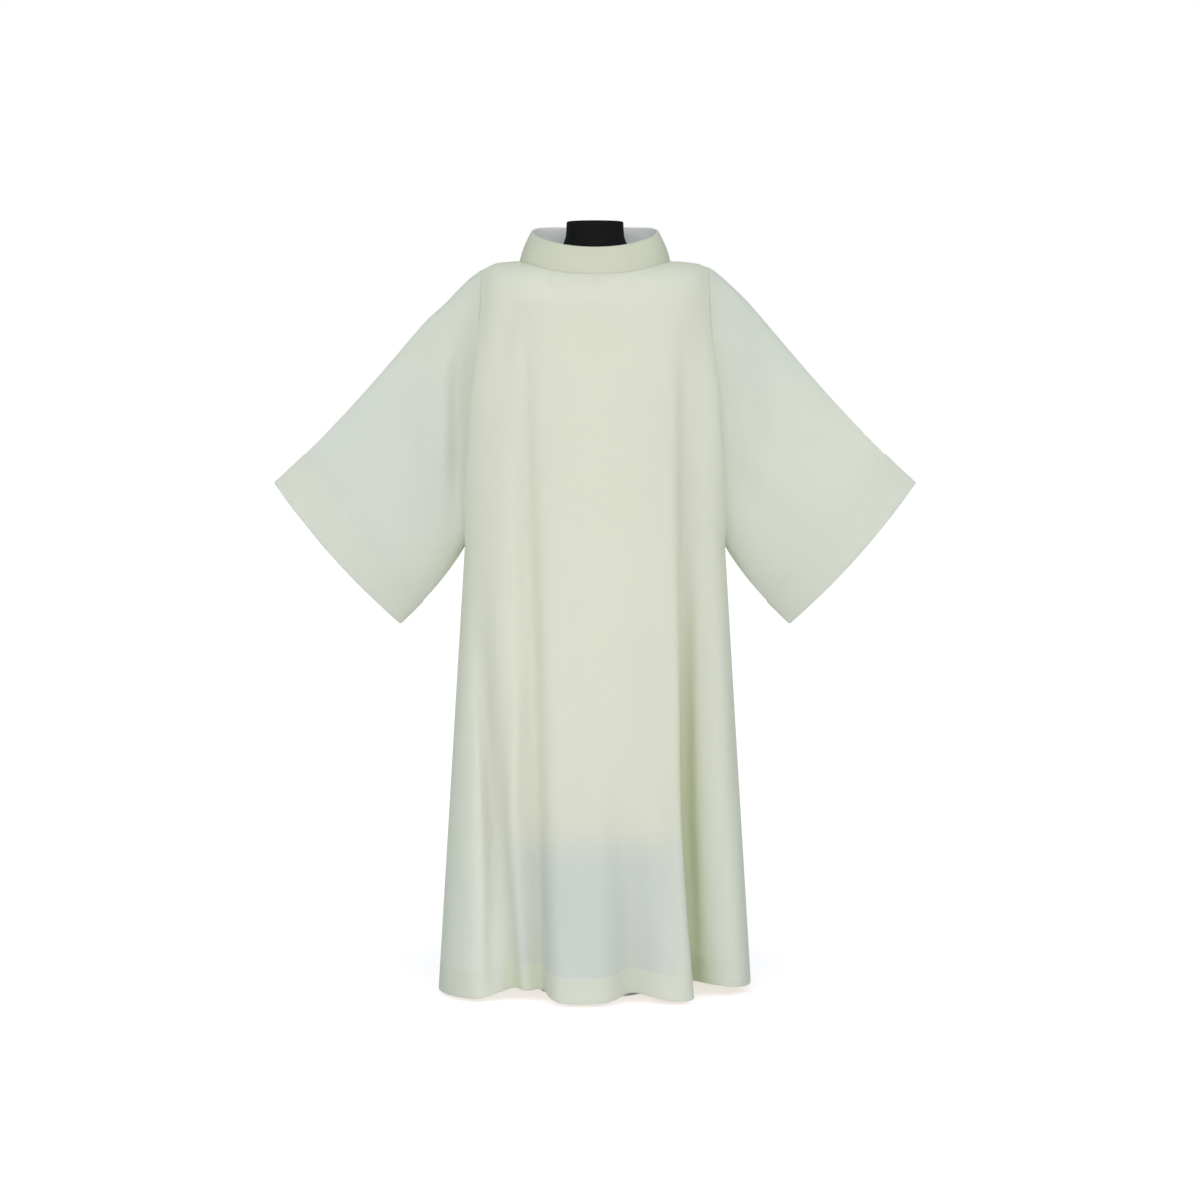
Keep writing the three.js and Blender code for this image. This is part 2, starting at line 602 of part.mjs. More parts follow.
function footGeometry() {
  const { radius, thick, bossRadius, bossHeight, round } = FOOT;
  const bore = POLE.radius + SEAM_GAP;
  return turned(
    [
      [0, 0], [radius - round, 0], [radius, round], [radius, thick - round], [radius - round, thick],
      [bossRadius, thick], [bossRadius, bossHeight - round], [bossRadius - round, bossHeight],
      [bore, bossHeight], [bore, thick], [0, thick],
    ],
    40,
  );
}

// ---------- Materials and nodes ----------

const cream = new THREE.MeshStandardMaterial({ color: 0xe2e3d2, roughness: 0.85, metalness: 0 });
const jersey = new THREE.MeshStandardMaterial({ color: 0xe6e0cf, roughness: 0.9, metalness: 0 });
const black = new THREE.MeshStandardMaterial({ color: 0x0a0a0a, roughness: 0.7, metalness: 0 });
const powderCoat = new THREE.MeshStandardMaterial({ color: 0xd4d5d6, roughness: 0.45, metalness: 0 });

const part = new THREE.Group();

function add(name, geometry, material) {
  const mesh = new THREE.Mesh(geometry, material);
  mesh.name = name;
  part.add(mesh);
}

add("front", panelSolid(FRONT), cream);
add("back", panelSolid(BACK), cream);
add("sleeve_left", sleeveSolid(1), cream);
add("sleeve_right", sleeveSolid(-1), cream);
add("collar", collarSolid(), cream);
add("form_body", formBodySolid(), jersey);
add("form_neck", formNeckSolid(), black);
add("stand_pole", poleGeometry(), powderCoat);
add("stand_foot", footGeometry(), powderCoat);

export default part;
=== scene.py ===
# %% [markdown]
# # An alb on a dress form
#
# An alb is the long white robe that a priest or server wears under the other vestments. This one pulls on
# over the head: a front, a back, two wide sleeves and a collar that turns down over itself. It hangs on a
# dress form, so nearly all of its shape is made by gravity, and the work is in the folds.
#
# The solids of the garment are loaded first, as a fixed frame. Everything below is built over them.

import math

import bpy
import numpy as np
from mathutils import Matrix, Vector


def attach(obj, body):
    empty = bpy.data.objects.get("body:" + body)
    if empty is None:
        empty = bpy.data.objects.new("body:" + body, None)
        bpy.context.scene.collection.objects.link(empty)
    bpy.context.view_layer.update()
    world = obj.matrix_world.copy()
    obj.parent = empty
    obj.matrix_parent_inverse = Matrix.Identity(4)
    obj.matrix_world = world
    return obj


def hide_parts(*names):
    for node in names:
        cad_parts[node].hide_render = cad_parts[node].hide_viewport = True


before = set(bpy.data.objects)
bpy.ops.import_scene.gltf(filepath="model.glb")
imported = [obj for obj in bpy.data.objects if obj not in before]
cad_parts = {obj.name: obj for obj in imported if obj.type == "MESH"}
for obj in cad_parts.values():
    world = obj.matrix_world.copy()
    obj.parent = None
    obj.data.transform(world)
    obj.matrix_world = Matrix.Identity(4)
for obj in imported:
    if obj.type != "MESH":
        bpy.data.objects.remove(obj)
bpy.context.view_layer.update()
scene = bpy.context.scene
print("nodes:", sorted(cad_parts))

# %% [markdown]
# ## The camera
#
# A garment is usually shot from far off with a long lens, at chest height. From there the sleeves and the
# hem keep their true proportions. A short lens close by would swell the chest and shrink the hem.

# %% Place the camera
CAMERA_HEIGHT = 1.169
CAMERA_DISTANCE = 7.13
CAMERA_ASIDE = 0.010  # the garment stands a little to the left of the middle of the frame
CAMERA_TILT = math.radians(3.09)
LENS_MM = 106.95  # on a sensor 36 mm wide

camera_data = bpy.data.cameras.new("camera")
camera_data.lens = LENS_MM
camera_data.sensor_width = 36
camera = bpy.data.objects.new("camera", camera_data)
camera.location = (CAMERA_ASIDE, -CAMERA_DISTANCE, CAMERA_HEIGHT)
camera.rotation_euler = (math.pi / 2 - CAMERA_TILT, 0, 0)
scene.collection.objects.link(camera)
scene.camera = camera
print("camera", round(CAMERA_DISTANCE, 2), "m in front of the garment")

# %% [markdown]
# ## The sizes of the garment
#
# A pattern cutter works from a table of sizes, and so does this script. All are in metres. Z is up, the
# garment faces -Y, and the wearer's left sleeve points along +X.

# %% Sizes
CLOTH = 0.0008  # thickness of one layer
SEAM_GAP = 0.0001
RIGHT_ANGLE = math.pi / 2

HEM_Z = 0.008
HEM_DEEP = 0.050
LEFT_LIFT = 0.010  # how much higher the hem hangs at the wearer's left side
LEFT_LIFT_FROM = 0.160
HEM_HALF_WIDTH = 0.314
UNDERARM_HALF_WIDTH = 0.260
UNDERARM_Z = 0.894

NECK_HALF_WIDTH = 0.143
SHOULDER_TIP = 0.226
SHOULDER_Z = 1.460
SHOULDER_DROP = 0.008
YOKE_START_Z = 1.180
YOKE_ROUND = 0.090
FULLNESS = 0.7
ARM_CURVE = 1.5  # how late the side edge turns in on its way up the armhole
HANG_CURVE = 1.25  # how late a panel swings out on its way down
SEAM_HOLD = 8  # a high power keeps folds and creases away from the side seams, but only close to them

ARMHOLE_HALF_DEPTH = 0.074
ARMHOLE_MID_Z = (SHOULDER_Z - SHOULDER_DROP + UNDERARM_Z) / 2
ARMHOLE_HALF_HEIGHT = (SHOULDER_Z - SHOULDER_DROP - UNDERARM_Z) / 2
ARMHOLE_CURL = math.radians(5)
ARMHOLE_FADE = 2.0  # 0.5 is the plain ellipse, and more lets it die out softly into the panel
ARMHOLE_FIRM_FROM = 0.62  # share of the way to the edge from which on it is the plain ellipse

FOLD_SWELL = 1.15  # how late a fold deepens on its way down
FOLD_TOP_WIDTH = 0.75  # a fold's width where it starts, as a share of its width at the hem

# Folds of the skirt. A row says where a fold starts, where it meets the hem, how deep it is there, and its
# half-widths towards the middle and towards the side. For each metre of its depth, a fold leans in by "lean"
# and lifts the hem by "rise".
FOLD_COLUMNS = ("start_x", "start_z", "hem_x", "depth", "inner", "outer", "lean", "rise")
FRONT_FOLDS = (
    (-0.142, 1.34, -0.124, 0.058, 0.032, 0.034, 0.0, 0.30),
    (-0.226, 0.79, -0.188, 0.060, 0.036, 0.028, 0.0, 0.30),
    (0.182, 1.34, 0.250, 0.118, 0.030, 0.034, 0.2, 0.18),
    (0.044, 0.56, 0.086, 0.054, 0.044, 0.044, 0.0, 0.24),
)
BACK_FOLDS = (
    (-0.104, 1.31, -0.142, 0.096, 0.034, 0.040, 0.1, 0.16),
    (-0.226, 0.82, -0.232, 0.062, 0.030, 0.026, 0.0, 0.20),
    (-0.012, 0.98, -0.030, 0.070, 0.040, 0.036, 0.0, 0.22),
    (0.112, 1.31, 0.096, 0.088, 0.032, 0.036, 0.05, 0.16),
    (0.214, 0.90, 0.214, 0.086, 0.034, 0.030, 0.1, 0.16),
)
FRONT = {"side": -1, "chest": 0.150, "hem": 0.234, "neck": 0.105, "crown": 0.0, "folds": FRONT_FOLDS}
BACK = {"side": 1, "chest": 0.140, "hem": 0.222, "neck": 0.098, "crown": 0.032, "folds": BACK_FOLDS}
print("garment", round(SHOULDER_Z - HEM_Z, 3), "m long")

# %% [markdown]
# ## How the body of the garment is shaped
#
# The front and the back are each one surface. A point on it has two numbers: u runs from -1 at one side
# seam to 1 at the other, and z is the height. Above the chest the surface rounds over to the shoulder
# seam, and below it the folds press the cloth in towards the middle.
#
# The same job could be done by sculpting. Formulas have the advantage that the front, the back and the
# edges of the sleeves come out of the same sizes, so the seams always meet.


# %% The outline of the body
def lerp(a, b, share):
    return a + (b - a) * share


def eased(value, low, high):
    share = np.clip((value - low) / (high - low), 0, 1)
    return share * share * (3 - 2 * share)


def half_width(z):
    below = lerp(HEM_HALF_WIDTH, UNDERARM_HALF_WIDTH, np.clip((z - HEM_Z) / (UNDERARM_Z - HEM_Z), 0, 1))
    rise = np.clip((z - UNDERARM_Z) / (2 * ARMHOLE_HALF_HEIGHT), 0, 1)
    return np.where(z < UNDERARM_Z, below, lerp(UNDERARM_HALF_WIDTH, SHOULDER_TIP, rise**ARM_CURVE))


def shoulder_z(x):
    along = np.clip((np.abs(x) - NECK_HALF_WIDTH) / (SHOULDER_TIP - NECK_HALF_WIDTH), 0, 1)
    return SHOULDER_Z - SHOULDER_DROP * along**2


def yoke_top(panel, x):
    return shoulder_z(x) + panel["crown"] * np.maximum(0, 1 - (x / NECK_HALF_WIDTH) ** 2) ** 2


def fullness(u):
    return np.cos(RIGHT_ANGLE * np.minimum(1, np.abs(u))) ** FULLNESS


def edge_share(u):
    return (1 - fullness(u)) ** 2


def seam_hold(u):
    return 1 - np.abs(u) ** SEAM_HOLD


def armhole_depth(u, z):
    height = np.clip((z - ARMHOLE_MID_Z) / ARMHOLE_HALF_HEIGHT, -1, 1)
    firmness = np.minimum(1, edge_share(u) / ARMHOLE_FIRM_FROM)
    return ARMHOLE_HALF_DEPTH * (1 - height**2) ** lerp(ARMHOLE_FADE, 0.5, firmness)


def depth_at(panel, z):
    top = SHOULDER_Z - YOKE_ROUND
    return lerp(panel["chest"], panel["hem"], np.clip((top - z) / (top - HEM_Z), 0, 1) ** HANG_CURVE)


print("half-width at the hem", float(half_width(np.array(HEM_Z))))


# %% The upper edge: neckline and shoulder seams
def upper_edge(panel, u):
    x = SHOULDER_TIP * np.sin(RIGHT_ANGLE * u)
    inside = np.clip(1 - (x / NECK_HALF_WIDTH) ** 2, 0, 1)
    y = panel["neck"] * np.sqrt(inside)
    reach = panel["chest"] * np.maximum(fullness(u), 1e-9)
    turn = np.where(inside > 0, np.arccos(np.clip(y / reach, 0, 1)), RIGHT_ANGLE)
    z = np.where(inside > 0, yoke_top(panel, x) - YOKE_ROUND * (1 - np.sin(turn)), shoulder_z(x))
    return x, z, turn


NECK_COLUMNS = 56
SHOULDER_COLUMNS = 48
COLUMNS = NECK_COLUMNS + 2 * SHOULDER_COLUMNS


def upper_edge_u(share):
    corner = NECK_HALF_WIDTH / SHOULDER_TIP
    from_middle = np.abs(share - 0.5) * COLUMNS
    round_neck = np.minimum(1, from_middle / (NECK_COLUMNS / 2))
    along_shoulder = np.clip((from_middle - NECK_COLUMNS / 2) / SHOULDER_COLUMNS, 0, 1)
    near = np.arcsin(corner * np.sin(RIGHT_ANGLE * round_neck)) / RIGHT_ANGLE
    far = lerp(np.arcsin(corner) / RIGHT_ANGLE, 1, along_shoulder)
    return np.sign(share - 0.5) * np.where(round_neck < 1, near, far)


print("columns across a panel:", COLUMNS)


# %% Folds, and a point of the panel
def folds_at(panel, x, z):
    """How far the folds push the cloth in at a place, drag it to the centre, and lift the hem."""
    depth = np.zeros_like(x)
    drag = np.zeros_like(x)
    lift = np.zeros_like(x)
    for row in panel["folds"]:
        fold = dict(zip(FOLD_COLUMNS, row))
        down = np.clip((fold["start_z"] - z) / (fold["start_z"] - HEM_Z), 0, 1)
        middle = lerp(fold["start_x"], fold["hem_x"], down)
        outwards = (x - middle) * np.sign(middle)
        width = np.where(outwards < 0, fold["inner"], fold["outer"]) * lerp(FOLD_TOP_WIDTH, 1, down)
        push = fold["depth"] * down**FOLD_SWELL * np.exp(-((outwards / width) ** 2))
        depth = depth + push
        drag = drag + push * fold["lean"] * np.sign(middle)
        lift = lift + push * fold["rise"]
    return depth, drag, lift


def unfolded(panel, u, z):
    """x, and the distance from the plane of the seams, before the folds press the cloth in."""
    armhole = armhole_depth(u, z)
    sweep = RIGHT_ANGLE + ARMHOLE_CURL * armhole / ARMHOLE_HALF_DEPTH
    edge_x, edge_z, _ = upper_edge(panel, u)
    reach = eased(z, YOKE_START_Z, edge_z)
    x = -panel["side"] * lerp(half_width(z) * np.sin(u * sweep), edge_x, reach)
    round_start = yoke_top(panel, x) - YOKE_ROUND
    rounding = np.sqrt(1 - np.clip((z - round_start) / YOKE_ROUND, 0, 1) ** 2)
    return x, depth_at(panel, z) * fullness(u) * rounding + armhole * edge_share(u) + SEAM_GAP / 2


def body_point(panel, u, z):
    x, y = unfolded(panel, u, z)
    depth, drag, _ = folds_at(panel, x, z)
    hold = seam_hold(u)
    in_x = -x / half_width(z) ** 2
    in_y = -y / depth_at(panel, z) ** 2
    length = np.hypot(in_x, in_y)
    moved_x = x + (in_x / length * depth - drag) * hold
    moved_y = panel["side"] * (y + in_y / length * depth * hold)
    return np.stack([moved_x, moved_y, z + 0 * x], axis=-1)


print("chest stands", round(-float(body_point(FRONT, np.array(0.0), np.array(1.3))[1]), 3), "m forward")

# %% [markdown]
# ## A grid that follows the folds
#
# A fold needs more vertices than flat cloth does. So the columns of each row are spread evenly along the
# length of the folded cloth, as threads are. Up at the neckline and the shoulder seams they have to end at
# the corners of the pattern piece, and the rows in between change smoothly from one to the other.

# %% Rows and columns of a panel
SKIRT_ROWS = 120
YOKE_ROWS = 76
HEM_ROWS = 7  # rows of the skirt that lie in the turned-up hem
SAMPLES_PER_COLUMN = 6  # how finely a row is sampled to measure its length
YOKE_EVENNESS = 0.6  # 1 spaces the rows of the yoke evenly, and 0 crowds them at both ends
UNDERARM_FOLDED = 0.5  # how far the columns still follow the folds at the underarm


def hem_z(panel, u):
    x = -panel["side"] * half_width(np.array(HEM_Z)) * np.sin(u * RIGHT_ANGLE)
    tilt = LEFT_LIFT * eased(x, LEFT_LIFT_FROM, HEM_HALF_WIDTH)
    return HEM_Z + tilt + folds_at(panel, x, np.array(HEM_Z))[2] * seam_hold(u)


def yoke_z(panel, u, share):
    edge_x, edge_z, turn = upper_edge(panel, u)
    even = lerp((1 - math.cos(math.pi * share)) / 2, share, YOKE_EVENNESS * (1 - edge_share(u)))
    round_start = yoke_top(panel, edge_x) - YOKE_ROUND
    arc = turn * (YOKE_ROUND + panel["chest"]) / 2
    travelled = even * (round_start - UNDERARM_Z + arc)
    past = travelled - (round_start - UNDERARM_Z)
    rounded = round_start + YOKE_ROUND * np.sin(turn * past / arc)
    on_path = np.where(past < 0, UNDERARM_Z + travelled, rounded)
    return lerp(on_path, lerp(UNDERARM_Z, edge_z, even), edge_share(u))


def row_of(panel, height_at, folded_share):
    """One row of the panel, spread along the folded cloth: u, how deep the folds press, and the points."""
    dense = np.linspace(-1, 1, COLUMNS * SAMPLES_PER_COLUMN + 1)
    line = body_point(panel, dense, height_at(dense))
    lengths = np.concatenate([[0], np.cumsum(np.linalg.norm(np.diff(line, axis=0), axis=1))])
    share = np.linspace(0, 1, COLUMNS + 1)
    even = np.interp(share * lengths[-1], lengths, dense)
    u = np.clip(lerp(upper_edge_u(share), even, folded_share), -1, 1)
    height = height_at(u)
    pressed = folds_at(panel, unfolded(panel, u, height)[0], height)[0]
    return u, pressed, body_point(panel, u, height)


def panel_grid(panel):
    """For every point of a panel, in rows from the hem up: u, how deep the folds press, and its place."""
    band = HEM_DEEP / (UNDERARM_Z - HEM_Z)
    in_hem = np.linspace(0, band, HEM_ROWS, endpoint=False)
    above_hem = np.linspace(band, 1, SKIRT_ROWS)[:-1]
    rows = [
        row_of(panel, lambda u, s=s: lerp(hem_z(panel, u), UNDERARM_Z, s), lerp(1, UNDERARM_FOLDED, s))
        for s in np.concatenate([in_hem, above_hem])
    ]
    rows += [
        row_of(panel, lambda u, s=s: yoke_z(panel, u, s), UNDERARM_FOLDED * max(0, 1 - 2 * s))
        for s in np.linspace(0, 1, YOKE_ROWS + 1)
    ]
    return tuple(np.array(values) for values in zip(*rows))


front_u, front_pressed, front_points = panel_grid(FRONT)
back_u, back_pressed, back_points = panel_grid(BACK)
print("front:", front_points.shape[0], "rows of", front_points.shape[1], "points")

# %% [markdown]
# ## Small creases
#
# Real cloth is never as calm as a formula. Between the main folds lie shallow troughs from the way the
# garment was folded and from the pull of the collar seam. Each one here is a row in a table: where it
# starts and ends, how wide and how deep it is. A negative depth raises a ridge. They are uneven on purpose,
# because an even row of creases looks like corrugated card.

# %% Crease tables
CREASE_TAPER = 0.8  # below 1 a crease keeps its depth for longer before its ends fade out
CREASE_WANDER = 0.25  # how far a crease strays to each side, as a share of its half-width
CREASE_WAVES = 7  # radians of that wandering from end to end
CREASE_SHIFT = 40  # radians for each metre of x, so that no two creases wander alike
ROWS_BELOW_EDGE = 6  # over this many rows the creases die out below the upper edge of a panel

FRONT_CREASES = (
    # start x, start z, end x, end z, half-width, depth
    (-0.092, 1.442, -0.078, 1.370, 0.010, 0.0045),
    (-0.060, 1.436, -0.052, 1.352, 0.013, 0.0030),
    (-0.018, 1.432, -0.012, 1.385, 0.012, 0.0022),
    (0.036, 1.432, 0.046, 1.345, 0.014, 0.0030),
    (0.084, 1.440, 0.078, 1.380, 0.010, 0.0038),
    (-0.170, 1.420, -0.186, 1.180, 0.022, 0.0050),
    (0.204, 1.400, 0.214, 1.080, 0.026, 0.0040),
    (-0.040, 1.200, -0.052, 0.560, 0.034, 0.0040),
    (0.030, 1.180, 0.014, 0.700, 0.040, 0.0030),
    (0.096, 1.060, 0.112, 0.360, 0.032, 0.0035),
    (-0.215, 0.900, -0.252, 0.380, 0.022, 0.0060),
    (0.280, 0.820, 0.286, 0.260, 0.022, 0.0040),
    (-0.040, 0.520, -0.030, 0.060, 0.030, 0.0040),
    (0.150, 0.520, 0.150, 0.060, 0.024, 0.0035),
    (-0.159, 0.720, -0.153, 0.240, 0.013, -0.0080),
    (-0.222, 0.700, -0.196, 0.010, 0.012, 0.0200),
    (0.172, 0.900, 0.197, 0.000, 0.012, 0.0150),
    (-0.141, 1.370, -0.126, 0.640, 0.013, 0.0060),
    (0.168, 1.320, 0.180, 0.700, 0.014, 0.0050),
)
BACK_CREASES = (
    (-0.088, 1.448, -0.092, 1.350, 0.011, 0.0040),
    (-0.036, 1.458, -0.030, 1.372, 0.014, 0.0028),
    (0.022, 1.458, 0.030, 1.360, 0.013, 0.0032),
    (0.078, 1.450, 0.088, 1.372, 0.011, 0.0040),
    (-0.186, 1.400, -0.196, 1.150, 0.020, 0.0055),
    (0.180, 1.410, 0.190, 1.160, 0.020, 0.0050),
    (-0.060, 1.150, -0.078, 0.520, 0.034, 0.0065),
    (0.048, 1.120, 0.030, 0.600, 0.036, 0.0060),
    (0.150, 1.020, 0.166, 0.420, 0.026, 0.0080),
    (-0.176, 0.980, -0.190, 0.400, 0.026, 0.0080),
    (0.250, 0.760, 0.268, 0.200, 0.022, 0.0070),
    (-0.258, 0.720, -0.268, 0.240, 0.022, 0.0070),
)


def crease_depth(creases, x, z):
    """How deep the small creases press at (x, z). Both ends of each crease fade out."""
    total = np.zeros_like(x)
    for start_x, start_z, end_x, end_z, width, depth in creases:
        run = np.array([end_x - start_x, end_z - start_z])
        length = np.hypot(*run)
        along = ((x - start_x) * run[0] + (z - start_z) * run[1]) / length**2
        across = ((x - start_x) * run[1] - (z - start_z) * run[0]) / length
        swell = np.sin(math.pi * np.clip(along, 0, 1)) ** CREASE_TAPER
        wander = CREASE_WANDER * width * np.sin(CREASE_WAVES * along + CREASE_SHIFT * start_x)
        total = total + depth * swell * np.exp(-(((across + wander) / width) ** 2))
    return total


def normals_of(points, closed=False):
    """Outward normals of a grid of points whose rows run up the cloth."""
    if closed:
        along = np.roll(points, -1, axis=1) - np.roll(points, 1, axis=1)
    else:
        along = np.gradient(points, axis=1)
    normals = np.cross(along, np.gradient(points, axis=0))
    return normals / np.maximum(np.linalg.norm(normals, axis=-1, keepdims=True), 1e-12)


def creased(points, u, creases):
    rows = np.arange(points.shape[0])[:, None]
    hold = seam_hold(u) * np.clip((points.shape[0] - 1 - rows) / ROWS_BELOW_EDGE, 0, 1)
    press = crease_depth(creases, points[..., 0], points[..., 2]) * hold
    return points - normals_of(points) * press[..., None]


front_points = creased(front_points, front_u, FRONT_CREASES)
back_points = creased(back_points, back_u, BACK_CREASES)
print(len(FRONT_CREASES), "creases in front and", len(BACK_CREASES), "behind")

# %% [markdown]
# ## The shoulders settle
#
# Nothing holds the cloth up past the end of the form's shoulders, so the weight of the sleeves pulls it down
# there, and never by the same amount on both sides. The panels, the sleeves and the form are all moved by one
# function of the place in space. That way they keep their distances, and every seam still meets.

# %% Let the shoulder tips down
SETTLE_COLUMNS = ("side", "drop", "begins", "full", "fades_from", "fades_to")
SETTLED_TIPS = ((-1, 0.011, 0.190, 0.236, 0.285, 0.350), (1, 0.005, 0.196, 0.232, 0.255, 0.310))
SETTLED_FROM_Z = (1.200, 1.360)  # where the drop begins going up, and where it is full


def settled(points):
    """The points with the shoulder tips let down, by the same amount in front and behind."""
    points = points.copy()
    aside, height = points[..., 0].copy(), points[..., 2].copy()
    for row in SETTLED_TIPS:
        tip = dict(zip(SETTLE_COLUMNS, row))
        out = aside * tip["side"]
        there = eased(out, tip["begins"], tip["full"]) * (1 - eased(out, tip["fades_from"], tip["fades_to"]))
        points[..., 2] -= tip["drop"] * there * eased(height, *SETTLED_FROM_Z)
    return points


front_points = settled(front_points)
back_points = settled(back_points)
print("shoulder tips let down by", [round(drop * 1000) for _, drop, *_ in SETTLED_TIPS], "mm")

# %% [markdown]
# ## From a grid to a piece of cloth
#
# A mesh made from a grid has no thickness. The Solidify modifier gives it some, inwards, so the outer face
# stays where the pattern says. The hem is a second layer, turned up inside: the grid goes down the inside,
# round the fold and up the outside, as the cloth does. Two layers let less light through than one, and that
# is why a hem shows as a paler band. The material paints that band paler as well.
#
# The UV map is laid out in metres: across the cloth, and up from the hem's stitching. A weave made from it
# has the right scale wherever it is.

# %% Turn up the hem, and make a cloth object
HEM_LAYER_GAP = 0.0022
FOLD_ROOM = 0.2  # the inside layer stops this share of a row above the fold, so that the fold can be round


def turned_up(points, hem_rows, closed=False):
    """Adds the inside layer of a hem below the rows of the grid."""
    normals = normals_of(points, closed)
    inside = points[: hem_rows + 1] - normals[: hem_rows + 1] * HEM_LAYER_GAP
    inside[0] = lerp(inside[0], inside[1], FOLD_ROOM)
    downwards = points[0] - points[1]
    downwards = downwards / np.linalg.norm(downwards, axis=-1, keepdims=True)
    bend = points[0] - normals[0] * HEM_LAYER_GAP / 2 + downwards * HEM_LAYER_GAP / 3
    return np.concatenate([inside[::-1], bend[None], points])


def measured(points, hem_rows, has_hem=True, closed=False):
    """UV coordinates in metres. v is 0 at the hem's stitching and negative in the hem itself."""
    steps = np.linalg.norm(np.diff(points, axis=0), axis=-1).mean(axis=1)
    up = np.concatenate([[0], np.cumsum(steps)])
    if has_hem:
        edge = up[hem_rows + 2]
        up = np.abs(up - edge) - (up[2 * hem_rows + 2] - edge)
    line = points[len(points) // 2]
    if closed:
        line = np.concatenate([line, line[:1]])
    lengths = np.linalg.norm(np.diff(line, axis=0), axis=-1)
    across = np.concatenate([[0], np.cumsum(lengths)])
    return across, up


def cloth_object(name, points, uv, closed=False, thickness=CLOTH):
    """A mesh object from a grid of points, with a UV map and thickness."""
    rows, columns = points.shape[:2]
    faces = []
    corners = []
    for row in range(rows - 1):
        for column in range(columns if closed else columns - 1):
            after = (column + 1) % columns
            a, b = row * columns + column, row * columns + after
            faces.append((a, b, b + columns, a + columns))
            corners += [(column, row), (column + 1, row), (column + 1, row + 1), (column, row + 1)]
    mesh = bpy.data.meshes.new(name)
    mesh.from_pydata(points.reshape(-1, 3).tolist(), [], faces)
    layer = mesh.uv_layers.new(name="cloth")
    across, up = uv
    flat = [value for column, row in corners for value in (across[column], up[row])]
    layer.data.foreach_set("uv", flat)
    mesh.shade_smooth()
    piece = bpy.data.objects.new(name, mesh)
    scene.collection.objects.link(piece)
    solidify = piece.modifiers.new("thickness", "SOLIDIFY")
    solidify.thickness = thickness
    solidify.offset = -1
    # Without this the thin rim of the cloth bends the shading of the last row of faces along every edge.
    piece.modifiers.new("shading by face size", "WEIGHTED_NORMAL")
    print(name, len(faces), "faces")
    return piece


def mark_folds(piece, pressed):
    """Stores how deep the folds press at each vertex, for the cloth's material to read."""
    rows = np.concatenate([pressed[HEM_ROWS::-1], pressed[:1], pressed])
    piece.data.attributes.new("fold_depth", "FLOAT", "POINT").data.foreach_set("value", rows.ravel())
    print(piece.name, "is folded", round(float(rows.max()), 3), "m deep at most")


front_hemmed = turned_up(front_points, HEM_ROWS)
back_hemmed = turned_up(back_points, HEM_ROWS)
front = cloth_object("alb_front", front_hemmed, measured(front_hemmed, HEM_ROWS))
back = cloth_object("alb_back", back_hemmed, measured(back_hemmed, HEM_ROWS))
mark_folds(front, front_pressed)
mark_folds(back, back_pressed)

# %% [markdown]
# ## The sleeves
#
# Each sleeve is a wide tube that hangs nearly flat. Its first ring is the edge of the armhole, taken from
# the panels themselves, and the others run between an upper and a lower line drawn in the plane of the
# shoulders. The rings close up towards the cuff and lean over with it.

# %% Sleeve sizes
SLEEVE_UPPER = ((0.226, 1.452), (0.285, 1.425), (0.430, 1.205), (0.640, 1.018))
SLEEVE_LOWER = ((0.260, 0.894), (0.290, 0.842), (0.336, 0.788), (0.391, 0.738))
CUFF_HALF_DEPTH = 0.036
CUFF_BULGE = 0.009
CUFF_HEM = 0.060
CUFF_FLATNESS = 1.7  # 1 is a round tube, and more makes its two sides meet in a crease
SLEEVE_CLOSING = 0.7  # below 1 the sleeve closes up soon after the armhole
HOLLOW_TAPER = 0.8  # below 1 a hollow keeps its depth for longer before its ends fade out
SLEEVE_RINGS = 96
ARMHOLE_STEPS = YOKE_ROWS

# Soft hollows that run from the shoulder to the cuff. Across is 0 at the lower edge and 1 at the upper.
SLEEVE_HOLLOWS = (
    {"start": 0.66, "cuff": 0.70, "width": 0.16, "depth": 0.009},
    {"start": 0.30, "cuff": 0.34, "width": 0.13, "depth": 0.007},
)


def on_curve(points, share):
    rest = 1 - share
    weights = (rest**3, 3 * rest**2 * share, 3 * rest * share**2, share**3)
    x = sum(weight * point[0] for weight, point in zip(weights, points))
    z = sum(weight * point[1] for weight, point in zip(weights, points))
    return x, z


def curve_length(points):
    x, z = on_curve(points, np.linspace(0, 1, 41))
    return float(np.hypot(np.diff(x), np.diff(z)).sum())


def sleeve_ring(mirror, upper_share, lower_share, around):
    upper_x, upper_z = on_curve(SLEEVE_UPPER, upper_share)
    lower_x, lower_z = on_curve(SLEEVE_LOWER, lower_share)
    across = (1 - np.cos(around)) / 2
    swell = np.sin(math.pi * across)
    bulge = CUFF_BULGE * upper_share**3 * swell
    flatten = lerp(1, CUFF_FLATNESS, upper_share)
    half_depth = lerp(ARMHOLE_HALF_DEPTH, CUFF_HALF_DEPTH, upper_share**SLEEVE_CLOSING)
    hollows = np.zeros_like(around)
    for hollow in SLEEVE_HOLLOWS:
        middle = lerp(hollow["start"], hollow["cuff"], upper_share)
        hollows += hollow["depth"] * np.exp(-(((across - middle) / hollow["width"]) ** 2))
    hollows *= max(0, math.sin(math.pi * upper_share)) ** HOLLOW_TAPER
    depth = np.maximum(0, half_depth * np.abs(np.sin(around)) ** flatten - hollows * swell)
    slope = math.atan2(upper_x - lower_x, upper_z - lower_z)
    x = mirror * (lerp(lower_x, upper_x, across) + bulge * math.cos(slope))
    y = -np.sign(np.sin(around)) * depth
    z = lerp(lower_z, upper_z, across) - bulge * math.sin(slope)
    return np.stack([x, y, z], axis=-1)


print("upper edge of a sleeve:", round(curve_length(SLEEVE_UPPER), 3), "m")


